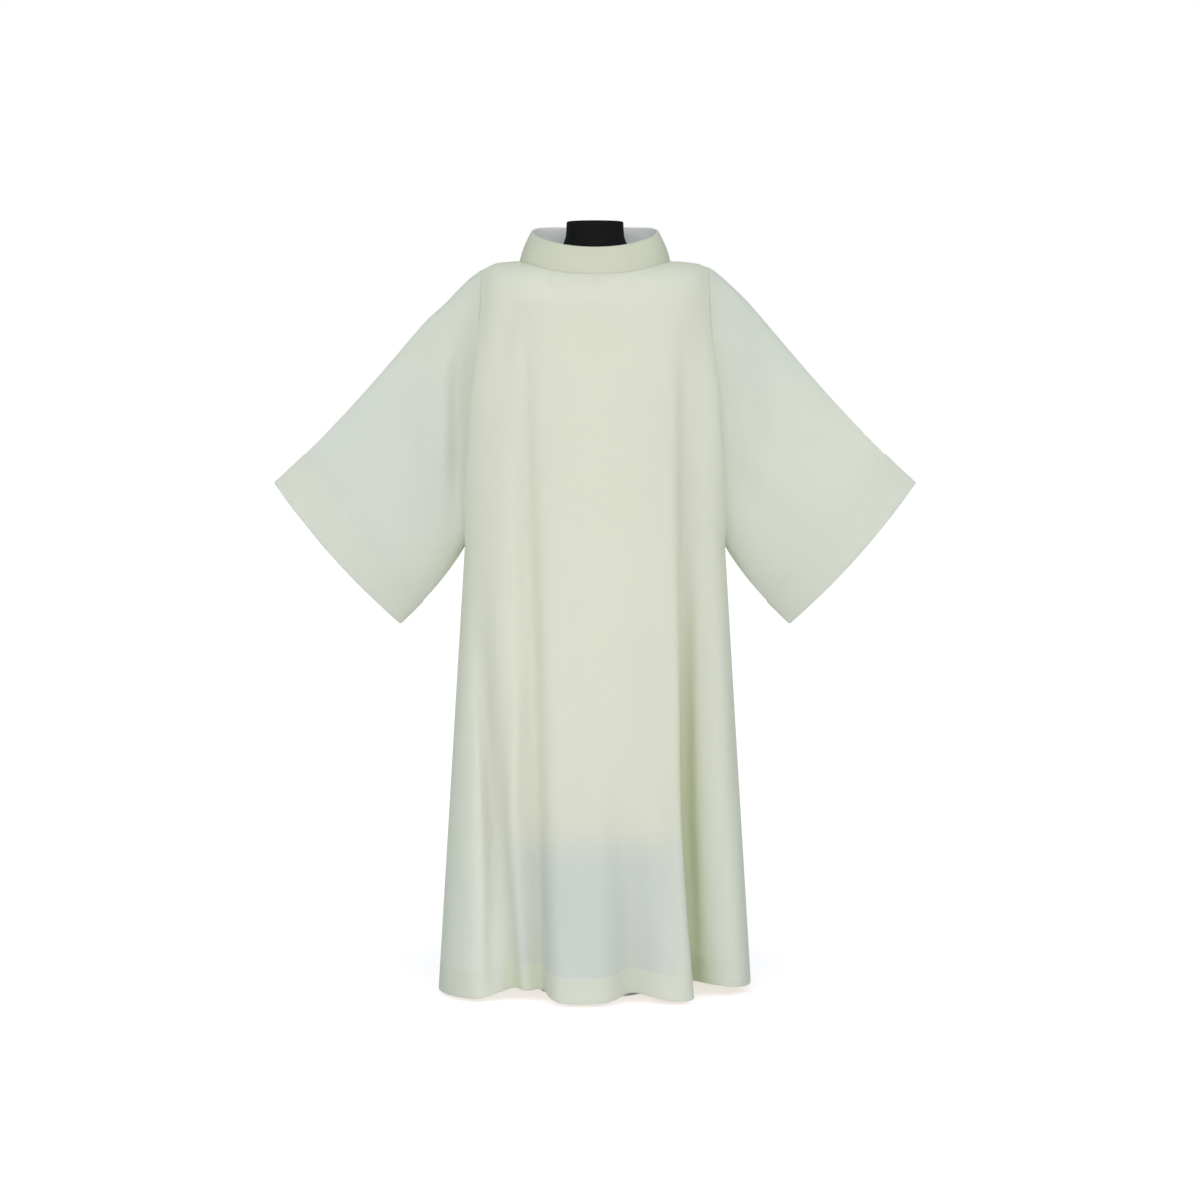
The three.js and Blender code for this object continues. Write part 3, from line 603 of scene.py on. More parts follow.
# %% The ring at the armhole
STEP_IN_AT_SIDES = 1.5  # how far the step leads towards the axis of the armhole, beside each 1 outwards
STEP_IN_AT_UNDERARM = 0.6
STEP_OUT_AT_UNDERARM = 4
STEP_LENGTH = 1.5 * SEAM_GAP


def seam_step(points):
    """The small step from the panel's edge to the sleeve's, outwards and towards the axis of the armhole."""
    height = np.clip((points[:, 2] - ARMHOLE_MID_Z) / ARMHOLE_HALF_HEIGHT, -1, 1)
    towards_axis = lerp(STEP_IN_AT_SIDES, np.where(height < 0, STEP_IN_AT_UNDERARM, 0), height**4)
    outwards = lerp(1, STEP_OUT_AT_UNDERARM, np.maximum(0, -height) ** 6)
    in_y = -points[:, 1] / ARMHOLE_HALF_DEPTH**2
    inward = np.stack([0 * height, in_y, -height / ARMHOLE_HALF_HEIGHT], axis=-1)
    inward /= np.linalg.norm(inward, axis=-1, keepdims=True)
    step = inward * towards_axis[:, None]
    step[:, 0] += np.sign(points[:, 0]) * outwards
    return step / np.linalg.norm(step, axis=-1, keepdims=True) * STEP_LENGTH


def armhole_ring(mirror):
    heights = np.array([yoke_z(FRONT, np.array(1.0), s) for s in np.linspace(0, 1, ARMHOLE_STEPS + 1)])
    edge = np.full_like(heights, float(mirror))
    in_front = body_point(FRONT, edge, heights)
    behind = body_point(BACK, -edge, heights)[1:-1][::-1]
    ring = np.concatenate([in_front, behind])
    ring[0, 1] = 0
    ring[ARMHOLE_STEPS, 1] = 0
    return ring + seam_step(ring)


print("armhole:", len(armhole_ring(1)), "points")

# %% [markdown]
# The creases of a sleeve are drawn in the same way as those of the body. They fall from the shoulder
# towards the cuff, where the weight of the cloth pulls. The front and the back of each sleeve have their own.

# %% Build the sleeves
RINGS_PAST_ARMHOLE = 8  # over this many rings the creases set in
DEEPEST_CREASE = 0.7  # as a share of the half-depth there, so that the two sides never touch

SLEEVE_CREASES = {
    ("left", "front"): (
        (0.300, 1.372, 0.392, 1.000, 0.026, 0.0070),
        (0.350, 1.255, 0.520, 0.985, 0.024, 0.0055),
        (0.282, 1.180, 0.318, 0.930, 0.018, 0.0060),
        (0.440, 1.140, 0.560, 1.010, 0.016, 0.0030),
    ),
    ("left", "back"): (
        (0.296, 1.360, 0.420, 0.960, 0.028, 0.0070),
        (0.360, 1.240, 0.500, 0.960, 0.022, 0.0055),
        (0.280, 1.120, 0.330, 0.900, 0.018, 0.0055),
    ),
    ("right", "front"): (
        (-0.320, 1.372, -0.468, 1.000, 0.028, 0.0075),
        (-0.258, 1.400, -0.286, 0.900, 0.019, 0.0220),
        (-0.350, 1.180, -0.420, 0.900, 0.024, 0.0055),
        (-0.430, 1.160, -0.540, 1.010, 0.018, 0.0035),
    ),
    ("right", "back"): (
        (-0.300, 1.370, -0.440, 0.960, 0.028, 0.0075),
        (-0.288, 1.200, -0.320, 0.910, 0.020, 0.0060),
        (-0.390, 1.200, -0.520, 0.980, 0.022, 0.0050),
    ),
}


def sleeve_points(mirror, side):
    around = np.linspace(0, 2 * math.pi, 2 * ARMHOLE_STEPS, endpoint=False)
    upper_band = 1 - CUFF_HEM / curve_length(SLEEVE_UPPER)
    lower_band = 1 - CUFF_HEM / curve_length(SLEEVE_LOWER)
    plain = np.linspace(0, 1, SLEEVE_RINGS)[1:]
    band = np.linspace(0, 1, HEM_ROWS + 1)[1:]
    stations = [(share * upper_band, share * lower_band) for share in plain]
    stations += [(lerp(upper_band, 1, share), lerp(lower_band, 1, share)) for share in band]
    rings = [sleeve_ring(mirror, upper, lower, around) for upper, lower in stations]
    points = np.array([armhole_ring(mirror)] + rings)
    towards = np.where(np.sin(around) > 0, 1.0, 0.0)[None, :]
    press = crease_depth(SLEEVE_CREASES[side, "front"], points[..., 0], points[..., 2]) * towards
    press += crease_depth(SLEEVE_CREASES[side, "back"], points[..., 0], points[..., 2]) * (1 - towards)
    set_in = np.clip(np.arange(len(points)) / RINGS_PAST_ARMHOLE, 0, 1)[:, None]
    fade = np.abs(np.sin(around))[None, :] * set_in
    half_depth = np.abs(points[..., 1])
    points[..., 1] -= np.sign(points[..., 1]) * np.minimum(press * fade, DEEPEST_CREASE * half_depth)
    return points[::-1] if mirror < 0 else points[::-1, ::-1]


def sleeve_piece(name, mirror, side):
    points = settled(sleeve_points(mirror, side))
    hemmed = turned_up(points, HEM_ROWS, closed=True)
    uv = measured(hemmed, HEM_ROWS, closed=True)
    return cloth_object(name, hemmed, uv, closed=True)


sleeve_left = sleeve_piece("alb_sleeve_left", 1, "left")
sleeve_right = sleeve_piece("alb_sleeve_right", -1, "right")

# %% [markdown]
# ## The collar
#
# The collar is a tube of cloth sewn to the neckline. It rises, leans in and folds over, and its free edge
# ends just above the shoulders. One cross-section is swept round the neck. The height of the yoke under
# each point is looked up, so that the collar follows the shoulders without touching them.

# %% Build the collar
COLLAR_SIDE_LEAN = 0.020
COLLAR_BACK_Z = 1.532
COLLAR_FRONT_Z = 1.485
COLLAR_FALL = 0.007
COLLAR_HOVER = 0.0010
COLLAR_LAYER_GAP = 0.0024
COLLAR_SEGMENTS = 160
COLLAR_STAND_ROWS = 10
COLLAR_FOLD_ROWS = 9
COLLAR_FALL_ROWS = 12
STAND_BOW = 0.0030  # how far the standing part and the turned-down part swell outwards
FALL_BOW = 0.0025


HALVINGS = 34


def halved(low, high, is_above):
    """The value between low and high where is_above turns true, for a whole array of points at once."""
    for _ in range(HALVINGS):
        middle = (low + high) / 2
        above = is_above(middle)
        low, high = np.where(above, low, middle), np.where(above, middle, high)
    return (low + high) / 2


def panel_height(panel, x, y):
    """The height of one panel's yoke over points of the plan."""
    zero = np.zeros_like(x)

    def u_at(z):
        return halved(zero, zero + 1, lambda u: np.abs(body_point(panel, u, z)[..., 0]) > np.abs(x))

    def is_above(z):
        return np.abs(body_point(panel, u_at(z), z)[..., 1]) < np.abs(y)

    return halved(zero + YOKE_START_Z, yoke_top(panel, x), is_above)


def yoke_height(x, y):
    return np.where(y > 1e-9, panel_height(BACK, x, y), panel_height(FRONT, x, y))


def collar_rows():
    """The rows of the collar, from its seam up, over the fold and down to its free edge."""
    angle = np.linspace(0, 2 * math.pi, COLLAR_SEGMENTS, endpoint=False)
    neck_depth = np.where(np.sin(angle) > 1e-12, BACK["neck"], FRONT["neck"])
    x = NECK_HALF_WIDTH * np.cos(angle)
    y = neck_depth * np.sin(angle)
    out_x, out_y = x / NECK_HALF_WIDTH**2, y / neck_depth**2
    out_length = np.hypot(out_x, out_y)
    out_x, out_y = out_x / out_length, out_y / out_length
    towards_front = ((1 - np.sin(angle)) / 2) ** 2
    bend = COLLAR_LAYER_GAP / 2 + CLOTH
    bend_z = lerp(COLLAR_BACK_Z, COLLAR_FRONT_Z, towards_front) - bend
    foot_z = yoke_height(x, y) + SEAM_GAP
    edge_z = yoke_height(x + out_x * COLLAR_FALL, y + out_y * COLLAR_FALL) + COLLAR_HOVER

    def row(out, z):
        return np.stack([x + out_x * out, y + out_y * out, z + 0 * x], axis=-1)

    stand = [
        row(-COLLAR_SIDE_LEAN * share + STAND_BOW * math.sin(math.pi * share), lerp(foot_z, bend_z, share))
        for share in np.linspace(0, 1, COLLAR_STAND_ROWS, endpoint=False)
    ]
    fold = [
        row(bend - COLLAR_SIDE_LEAN - bend * math.cos(turn), bend_z + bend * math.sin(turn))
        for turn in np.linspace(0, math.pi, COLLAR_FOLD_ROWS)
    ]
    fall = [
        row(
            lerp(2 * bend - COLLAR_SIDE_LEAN, COLLAR_FALL, share) + FALL_BOW * math.sin(math.pi * share),
            lerp(bend_z, edge_z, share),
        )
        for share in np.linspace(0, 1, COLLAR_FALL_ROWS + 1)[1:]
    ]
    return np.array(stand + fold + fall)


collar_points = collar_rows()[::-1]
collar_uv = measured(collar_points, 0, has_hem=False, closed=True)
collar = cloth_object("alb_collar", collar_points, collar_uv, closed=True)

# %% [markdown]
# ## The dress form
#
# The form has no arms, legs or head. Its body is covered in pale jersey and can only be guessed at through
# the cloth, and its neck ends in a flat black cap. It is a loft: one ellipse for each row of a short table.
# A Subdivision Surface modifier rounds the rows into each other.

# %% Build the form
FORM_NECK = (
    # height, half-width, depth in front, depth behind
    (1.539, 0.057, 0.055, 0.055),
    (1.508, 0.057, 0.055, 0.056),
    (1.488, 0.066, 0.060, 0.064),
    (1.474, 0.084, 0.066, 0.070),
    (1.466, 0.104, 0.070, 0.074),
)
FORM_BODY = (
    (1.4657, 0.104, 0.070, 0.074),
    (1.456, 0.128, 0.072, 0.075),
    (1.460, 0.156, 0.073, 0.076),
    (1.458, 0.182, 0.074, 0.076),
    (1.454, 0.204, 0.076, 0.077),
    (1.444, 0.214, 0.080, 0.079),
    (1.428, 0.219, 0.088, 0.084),
    (1.390, 0.220, 0.106, 0.096),
    (1.330, 0.202, 0.122, 0.104),
    (1.250, 0.182, 0.128, 0.102),
    (1.090, 0.158, 0.106, 0.086),
    (0.930, 0.178, 0.112, 0.112),
    (0.760, 0.174, 0.108, 0.108),
    (0.540, 0.160, 0.098, 0.098),
    (0.320, 0.148, 0.090, 0.090),
)
FORM_COLUMNS = 64
FORM_SEAT = 0.0030
FORM_FALL_AWAY = 0.3
LOWEST_RING = 0.985  # a ring just inside the last one keeps the lower edge of the body crisp
ROUNDING_LEVELS = 1


def form_ring(row):
    z, width, front_depth, back_depth = row
    angle = np.linspace(0, 2 * math.pi, FORM_COLUMNS, endpoint=False)
    depth = np.where(np.sin(angle) > 0, back_depth, front_depth)
    return np.stack([width * np.cos(angle), depth * np.sin(angle), z + 0 * angle], axis=-1)


def under_yoke(ring):
    """Keeps a ring of the form just below the shoulders of the garment."""
    if ring[0, 2] < YOKE_START_Z:
        return ring
    highest = yoke_height(ring[:, 0], ring[:, 1]) - FORM_SEAT - FORM_FALL_AWAY * np.abs(ring[:, 1])
    return np.stack([ring[:, 0], ring[:, 1], np.minimum(ring[:, 2], highest)], axis=-1)


def lofted(name, rings):
    """A closed solid through rings that run upwards, rounded by subdivision."""
    columns = len(rings[0])
    vertices = [tuple(point) for ring in rings for point in ring]
    faces = [tuple(reversed(range(columns)))]
    for row in range(len(rings) - 1):
        for column in range(columns):
            after = (column + 1) % columns
            a, b = row * columns + column, row * columns + after
            faces.append((a, b, b + columns, a + columns))
    last = (len(rings) - 1) * columns
    faces.append(tuple(range(last, last + columns)))
    mesh = bpy.data.meshes.new(name)
    mesh.from_pydata(vertices, [], faces)
    mesh.shade_smooth()
    piece = bpy.data.objects.new(name, mesh)
    scene.collection.objects.link(piece)
    rounding = piece.modifiers.new("rounding", "SUBSURF")
    rounding.levels = ROUNDING_LEVELS
    rounding.render_levels = ROUNDING_LEVELS
    print(name, len(faces), "faces before rounding")
    return piece


body_rings = [settled(under_yoke(form_ring(row))) for row in reversed(FORM_BODY)]
body_rings.insert(0, body_rings[0] * [LOWEST_RING, LOWEST_RING, 1])
form_body = lofted("form_body_cover", body_rings)

# The cap's edge is a crisp small radius, so its top rows are drawn close together.
CAP_EDGE = 0.004
CAP_EDGE_ROWS = 6
CAP_TOP_SHARES = (0.85, 0.6, 0.3)  # each ring on the flat top, as a share of the one before it

neck_rings = [form_ring(row) for row in reversed(FORM_NECK[1:])]
z, width, front_depth, back_depth = FORM_NECK[0]
for turn in np.linspace(0, RIGHT_ANGLE, CAP_EDGE_ROWS):
    inset = CAP_EDGE * (1 - math.cos(turn))
    drop = CAP_EDGE * (1 - math.sin(turn))
    neck_rings.append(form_ring((z - drop, width - inset, front_depth - inset, back_depth - inset)))
for share in CAP_TOP_SHARES:
    neck_rings.append(neck_rings[-1] * [share, share, 1])
form_neck = lofted("form_neck_cap", neck_rings)

# %% [markdown]
# ## The stand
#
# A round steel foot and a tube carry the form. They are turned parts, so a profile spun round the upright
# axis makes them. The corners of the profile are cut twice, which catches a thin line of light.

# %% Build the pole and the foot
POLE_TOP = 0.3197
POLE_BOTTOM = 0.0163
POLE_PROFILE = (
    (0.0, POLE_BOTTOM), (0.016, POLE_BOTTOM), (0.016, 0.3137), (0.045, 0.3137),
    (0.046, 0.3147), (0.046, 0.3187), (0.045, POLE_TOP), (0.0, POLE_TOP),
)
FOOT_PROFILE = (
    (0.0, 0.0), (0.108, 0.0), (0.1094, 0.0006), (0.110, 0.002),
    (0.110, 0.014), (0.1094, 0.0154), (0.108, 0.016), (0.030, 0.016),
    (0.030, 0.034), (0.0294, 0.0354), (0.028, 0.036), (0.0163, 0.036),
    (0.0163, 0.0162), (0.0, 0.0162),
)
TURNED_SIDES = 128
SHARP_CORNER = math.radians(35)


def turned(name, profile):
    """A closed turned part from a profile of (radius, height) that starts and ends on the axis."""
    middle = profile[1:-1]
    angles = [2 * math.pi * i / TURNED_SIDES for i in range(TURNED_SIDES)]
    vertices = [(radius * math.cos(a), radius * math.sin(a), z) for radius, z in middle for a in angles]
    bottom = len(vertices)
    vertices += [(0, 0, profile[0][1]), (0, 0, profile[-1][1])]
    faces = []
    for side in range(TURNED_SIDES):
        after = (side + 1) % TURNED_SIDES
        faces.append((bottom, after, side))
        for row in range(len(middle) - 1):
            a, b = row * TURNED_SIDES + side, row * TURNED_SIDES + after
            faces.append((a, b, b + TURNED_SIDES, a + TURNED_SIDES))
        last = (len(middle) - 1) * TURNED_SIDES
        faces.append((last + side, last + after, bottom + 1))
    mesh = bpy.data.meshes.new(name)
    mesh.from_pydata(vertices, [], faces)
    mesh.shade_smooth()
    mesh.set_sharp_from_angle(angle=SHARP_CORNER)
    piece = bpy.data.objects.new(name, mesh)
    scene.collection.objects.link(piece)
    print(name, len(faces), "faces")
    return piece


stand_pole = turned("stand_pole_tube", POLE_PROFILE)
stand_foot = turned("stand_foot_plate", FOOT_PROFILE)

# %% [markdown]
# ## Node groups for effects that several materials share
#
# Two effects come back in more than one finish. A weave is two sets of fine ridges that cross, and mottling
# is the faint unevenness in colour that any dyed or painted surface has. On the alb, mottling also scatters
# patches of painted shade. Each is built once as a node group with named sockets. A material then places it
# with its own numbers.


# %% Helpers for node trees
def add_node(tree, kind, inputs=None, **settings):
    """A node with its settings, and its inputs set to numbers or linked to sockets."""
    node = tree.nodes.new(kind)
    for name, value in settings.items():
        setattr(node, name, value)
    for key, value in (inputs or {}).items():
        if isinstance(value, bpy.types.NodeSocket):
            tree.links.new(value, node.inputs[key])
        else:
            node.inputs[key].default_value = value
    return node


def new_group(name, inputs, outputs):
    """A node group with named sockets. inputs is (name, kind, default), and outputs is (name, kind)."""
    group = bpy.data.node_groups.new(name, "ShaderNodeTree")
    for socket_name, kind, default in inputs:
        socket = group.interface.new_socket(socket_name, in_out="INPUT", socket_type=kind)
        if default is not None:
            socket.default_value = default
    for socket_name, kind in outputs:
        group.interface.new_socket(socket_name, in_out="OUTPUT", socket_type=kind)
    return group, group.nodes.new("NodeGroupInput"), group.nodes.new("NodeGroupOutput")


def maths(tree, operation, a, b=0.0):
    return add_node(tree, "ShaderNodeMath", {0: a, 1: b}, operation=operation).outputs[0]


print("node helpers ready")


# %% The weave group
def build_weave():
    group, given, made = new_group(
        "plain weave",
        [("Position", "NodeSocketVector", None), ("Threads per metre", "NodeSocketFloat", 1600.0)],
        [("Height", "NodeSocketFloat"), ("Gaps", "NodeSocketFloat")],
    )
    scaled = add_node(
        group,
        "ShaderNodeVectorMath",
        {0: given.outputs["Position"], "Scale": given.outputs["Threads per metre"]},
        operation="SCALE",
    )
    split = add_node(group, "ShaderNodeSeparateXYZ", {0: scaled.outputs[0]})
    warp = maths(group, "SINE", maths(group, "MULTIPLY", split.outputs[0], math.pi))
    weft = maths(group, "SINE", maths(group, "MULTIPLY", split.outputs[1], math.pi))
    over = maths(group, "MULTIPLY", warp, weft)
    height = maths(group, "MULTIPLY_ADD", over, 0.5)
    group.links.new(maths(group, "ADD", height, 0.5), made.inputs["Height"])
    gaps = maths(group, "MULTIPLY", maths(group, "ABSOLUTE", warp), maths(group, "ABSOLUTE", weft))
    group.links.new(maths(group, "SUBTRACT", 1.0, gaps), made.inputs["Gaps"])
    return group


WEAVE = build_weave()
print(WEAVE.name, [item.name for item in WEAVE.interface.items_tree])


# %% The mottling group
# The noise stays near 0.5. This stretches the middle of its range over both colours.
MOTTLE_CONTRAST = {"From Min": 0.3, "From Max": 0.7}


def build_mottling():
    group, given, made = new_group(
        "mottling",
        [
            ("Colour", "NodeSocketColor", (0.8, 0.8, 0.8, 1.0)),
            ("Second colour", "NodeSocketColor", (0.7, 0.7, 0.7, 1.0)),
            ("Patches per metre", "NodeSocketFloat", 6.0),
            ("Amount", "NodeSocketFloat", 0.5),
        ],
        [("Colour", "NodeSocketColor"), ("Mask", "NodeSocketFloat")],
    )
    place = add_node(group, "ShaderNodeTexCoord")
    noise = add_node(
        group,
        "ShaderNodeTexNoise",
        {"Vector": place.outputs["Object"], "Scale": given.outputs["Patches per metre"], "Detail": 4.0},
    )
    spread = add_node(group, "ShaderNodeMapRange", {"Value": noise.outputs[0], **MOTTLE_CONTRAST})
    mask = maths(group, "MULTIPLY", spread.outputs[0], given.outputs["Amount"])
    mixed = add_node(
        group,
        "ShaderNodeMix",
        {"Factor": mask, 6: given.outputs["Colour"], 7: given.outputs["Second colour"]},
        data_type="RGBA",
    )
    group.links.new(mixed.outputs[2], made.inputs["Colour"])
    group.links.new(mask, made.inputs["Mask"])
    return group


MOTTLING = build_mottling()
print(MOTTLING.name, [item.name for item in MOTTLING.interface.items_tree])

# %% [markdown]
# ## The cloth of the alb
#
# The cloth is a fine plain weave in ivory, matt, and thin enough for light to come through. A Translucent
# shader mixed into the Principled one lets it through. The hem is marked off by its line of stitches, each a
# small dent, and the paler look of its two layers is painted into its colour as well.
#
# What lies behind thin cloth tints it. Over the form the robe looks warm and light, and over the dark space
# below it looks greyer. The light that crosses the cloth gives part of this. The rest is painted into the
# colour with a soft mask in the cloth's own coordinates. It paints light over the form's body, shade over the
# empty skirt and in the sleeves, and a cooler light at the sides and just below the collar. The mask is 1
# over the form's body and fades out past its sides and its lower end.
#
# Deep in a fold, light bounces from cloth to cloth, and every bounce takes up a little of the ivory. Each
# panel carries how deep its folds press as an attribute, and the material reads it to paint shade into deep
# folds, darker and yellower.

# %% The alb's cloth
ALB_IVORY = (0.943, 0.938, 0.850, 1.0)
ALB_SHADE = (0.928, 0.925, 0.828, 1.0)
# Painted light: the hem band is painted paler, for the different light that comes through two layers.
HEM_PAINTED_PALE = (0.914, 0.926, 0.850, 1.0)
# Painted light and painted shade. The cloth is one ivory, and these colours stand in for what shows through it:
# cool painted light where nothing backs it, painted shade over the empty skirt and in the sleeves, and warmer
# painted shade in patches where two layers touch.
SIDE_PAINTED_COOL_LIGHT = (0.932, 0.940, 0.876, 1.0)  # at the sides of the body and just below the collar
SKIRT_PAINTED_SHADE = (0.866, 0.884, 0.846, 1.0)  # over the empty space in the skirt
SLEEVE_PAINTED_SHADE = (0.893, 0.908, 0.864, 1.0)  # over the shallow space in a sleeve
PAINTED_TWO_LAYER_SHADE = (0.934, 0.940, 0.845, 1.0)  # where two layers touch and little shows through
# Painted shade: the collar is the same cloth, painted darker and yellower because its layers let little light
# through, with patches of deeper painted shade.
COLLAR_PAINTED_SHADE = (0.890, 0.895, 0.780, 1.0)
COLLAR_PAINTED_DEEPER_SHADE = (0.850, 0.858, 0.742, 1.0)
# Painted light: the standing part of the collar is painted paler, so that its inner face, which leans in and
# gets little lamp light, reads light.
STAND_PAINTED_LIGHT = (0.960, 0.975, 0.930, 1.0)
# Where the painted light and shade of what lies behind the cloth sit, in the cloth's own coordinates.
THROUGH_LIGHT_PAINT_HALF_WIDTH = (0.300, 0.170)  # where the tint begins at each side, and where it is full
FORM_LIGHT_PAINT_FROM_Z = (0.265, 0.370)
SKIRT_SHADE_PAINT_HALF_WIDTH = (0.200, 0.110)
THROUGH_LIGHT_PAINT_TO_Z = (1.430, 1.375)
# Painted shade in deep folds: the cloth is painted darker and yellower where the folds press deepest.
FOLD_SHADE_PAINT_DEPTHS = (0.034, 0.082)  # how deep a fold is where its tint begins, and where it is full
FOLD_PAINTED_SHADE = (0.830, 0.862, 0.680, 1.0)
ONE_LAYER = 0.58  # translucency
STIFFENED = 0.04
THREADS_PER_METRE = 1500.0
GAP_SHADE = (0.72, 0.73, 0.60, 1.0)  # between the threads
GAP_SHARE = 0.10
STITCH_SHADE = (0.50, 0.51, 0.43, 1.0)
STITCH_SHARE = 0.05
STITCH_DENT = 0.4  # against the height of the weave, which is 1
STITCHED_FROM = -0.3  # a sine above this is thread, and below it is the gap between two stitches
HEM_EDGE = 0.0006  # half the width over which the hem's colour sets in
SLUB_STRETCH = (40.0, 900.0, 1.0)  # thick places in the threads, long across the cloth and fine up it
SLUB_HEIGHT = 0.8
STITCH_LENGTH = 0.004
STITCH_LINE_WIDTH = 0.0009


def finish_mix(tree, factor, first, second):
    node = add_node(tree, "ShaderNodeMix", {"Factor": factor, 6: first, 7: second}, data_type="RGBA")
    return node.outputs[2]


def soft_step(tree, value, low, high):
    """0 where the value is at low and 1 where it is at high, with a smooth change between them."""
    settings = {"Value": value, "From Min": low, "From Max": high}
    return add_node(tree, "ShaderNodeMapRange", settings, interpolation_type="SMOOTHSTEP").outputs[0]


def group_node(tree, group, inputs):
    node = tree.nodes.new("ShaderNodeGroup")
    node.node_tree = group
    for name, value in inputs.items():
        if isinstance(value, bpy.types.NodeSocket):
            tree.links.new(value, node.inputs[name])
        else:
            node.inputs[name].default_value = value
    return node


def new_material(name):
    material = bpy.data.materials.new(name)
    material.use_nodes = True
    tree = material.node_tree
    tree.nodes.clear()
    return material, tree, tree.nodes.new("ShaderNodeOutputMaterial")


# Apart from middle_colour, the colours given here are painted light and painted shade.
def build_alb_cloth(name, middle_colour, side_painted_colour, patch_painted_colour, translucency):
    material, tree, output = new_material(name)
    uv = add_node(tree, "ShaderNodeUVMap", uv_map="cloth").outputs[0]
    across, up, _ = add_node(tree, "ShaderNodeSeparateXYZ", {0: uv}).outputs
    mottled = group_node(
        tree,
        MOTTLING,
        {"Colour": middle_colour, "Second colour": ALB_SHADE, "Patches per metre": 5.0, "Amount": 0.6},
    )
    place = add_node(tree, "ShaderNodeTexCoord").outputs["Object"]
    place_x, _, place_z = add_node(tree, "ShaderNodeSeparateXYZ", {0: place}).outputs
    aside = maths(tree, "ABSOLUTE", place_x)
    # Painted shade below the form and painted light over it: this is 0 over the empty skirt and 1 over the
    # form's body.
    above = soft_step(tree, place_z, *FORM_LIGHT_PAINT_FROM_Z)
    # Painted cool light at the sides, scattered with patches of painted shade where two layers touch.
    side = group_node(
        tree,
        MOTTLING,
        {"Colour": side_painted_colour, "Second colour": patch_painted_colour, "Patches per metre": 2.4, "Amount": 0.9},
    )
    # Painted shade over the empty middle of the skirt.
    hollow = finish_mix(tree, soft_step(tree, aside, *SKIRT_SHADE_PAINT_HALF_WIDTH), side.outputs["Colour"], SKIRT_PAINTED_SHADE)
    painted_form_light_or_skirt_shade = finish_mix(tree, above, hollow, mottled.outputs["Colour"])
    # Painted through-light: 1 over the form's body, fading out past its sides and up towards the shoulders.
    through_light_paint_mask = maths(
        tree,
        "MULTIPLY",
        soft_step(tree, aside, *THROUGH_LIGHT_PAINT_HALF_WIDTH),
        soft_step(tree, place_z, *THROUGH_LIGHT_PAINT_TO_Z),
    )
    painted_through_light_colour = finish_mix(tree, through_light_paint_mask, side.outputs["Colour"], painted_form_light_or_skirt_shade)
    fold_depth = add_node(tree, "ShaderNodeAttribute", attribute_name="fold_depth").outputs["Fac"]
    # Painted shade, where the folds press deep.
    painted_fold_shade_mask = soft_step(tree, fold_depth, *FOLD_SHADE_PAINT_DEPTHS)
    hem_step = {"Value": up, "From Min": HEM_EDGE, "From Max": -HEM_EDGE}
    in_hem = add_node(tree, "ShaderNodeMapRange", hem_step).outputs[0]
    # The hem band is painted paler.
    colour = finish_mix(tree, in_hem, painted_through_light_colour, HEM_PAINTED_PALE)
    colour = finish_mix(tree, painted_fold_shade_mask, colour, FOLD_PAINTED_SHADE)
    weave = group_node(tree, WEAVE, {"Position": uv, "Threads per metre": THREADS_PER_METRE})
    colour = finish_mix(tree, maths(tree, "MULTIPLY", weave.outputs["Gaps"], GAP_SHARE), colour, GAP_SHADE)
    near_line = add_node(
        tree,
        "ShaderNodeMapRange",
        {"Value": maths(tree, "ABSOLUTE", up), "From Min": STITCH_LINE_WIDTH, "From Max": 0.0},
    ).outputs[0]
    dash = maths(tree, "SINE", maths(tree, "MULTIPLY", across, 2 * math.pi / STITCH_LENGTH))
    stitches = maths(tree, "MULTIPLY", near_line, maths(tree, "GREATER_THAN", dash, STITCHED_FROM))
    colour = finish_mix(tree, maths(tree, "MULTIPLY", stitches, STITCH_SHARE), colour, STITCH_SHADE)
    stretched = add_node(tree, "ShaderNodeVectorMath", {0: uv, 1: SLUB_STRETCH}, operation="MULTIPLY")
    slub_sockets = {"Vector": stretched.outputs[0], "Scale": 1.0, "Detail": 2.0}
    slub = add_node(tree, "ShaderNodeTexNoise", slub_sockets).outputs[0]
    height = maths(tree, "ADD", weave.outputs["Height"], maths(tree, "MULTIPLY", slub, SLUB_HEIGHT))
    height = maths(tree, "SUBTRACT", height, maths(tree, "MULTIPLY", stitches, STITCH_DENT))
    relief = {"Strength": 0.25, "Distance": 0.0002, "Height": height}
    bump = add_node(tree, "ShaderNodeBump", relief).outputs[0]
    surface = add_node(
        tree,
        "ShaderNodeBsdfPrincipled",
        {
            "Base Color": colour,
            "Roughness": 0.82,
            "Specular IOR Level": 0.25,
            "Sheen Weight": 0.12,
            "Sheen Roughness": 0.5,
            "Normal": bump,
        },
    )
    through = add_node(tree, "ShaderNodeBsdfTranslucent", {"Color": colour, "Normal": bump})
    layers = {0: translucency, 1: surface.outputs[0], 2: through.outputs[0]}
    mixed = add_node(tree, "ShaderNodeMixShader", layers)
    tree.links.new(mixed.outputs[0], output.inputs["Surface"])
    return material


body_cloth = build_alb_cloth("alb_cloth", ALB_IVORY, SIDE_PAINTED_COOL_LIGHT, PAINTED_TWO_LAYER_SHADE, ONE_LAYER)
sleeve_cloth = build_alb_cloth("alb_cloth_sleeves", ALB_IVORY, SLEEVE_PAINTED_SHADE, PAINTED_TWO_LAYER_SHADE, ONE_LAYER)
# The collar gets painted shade.
collar_cloth = build_alb_cloth("alb_cloth_collar", COLLAR_PAINTED_SHADE, COLLAR_PAINTED_SHADE, COLLAR_PAINTED_DEEPER_SHADE, ONE_LAYER)
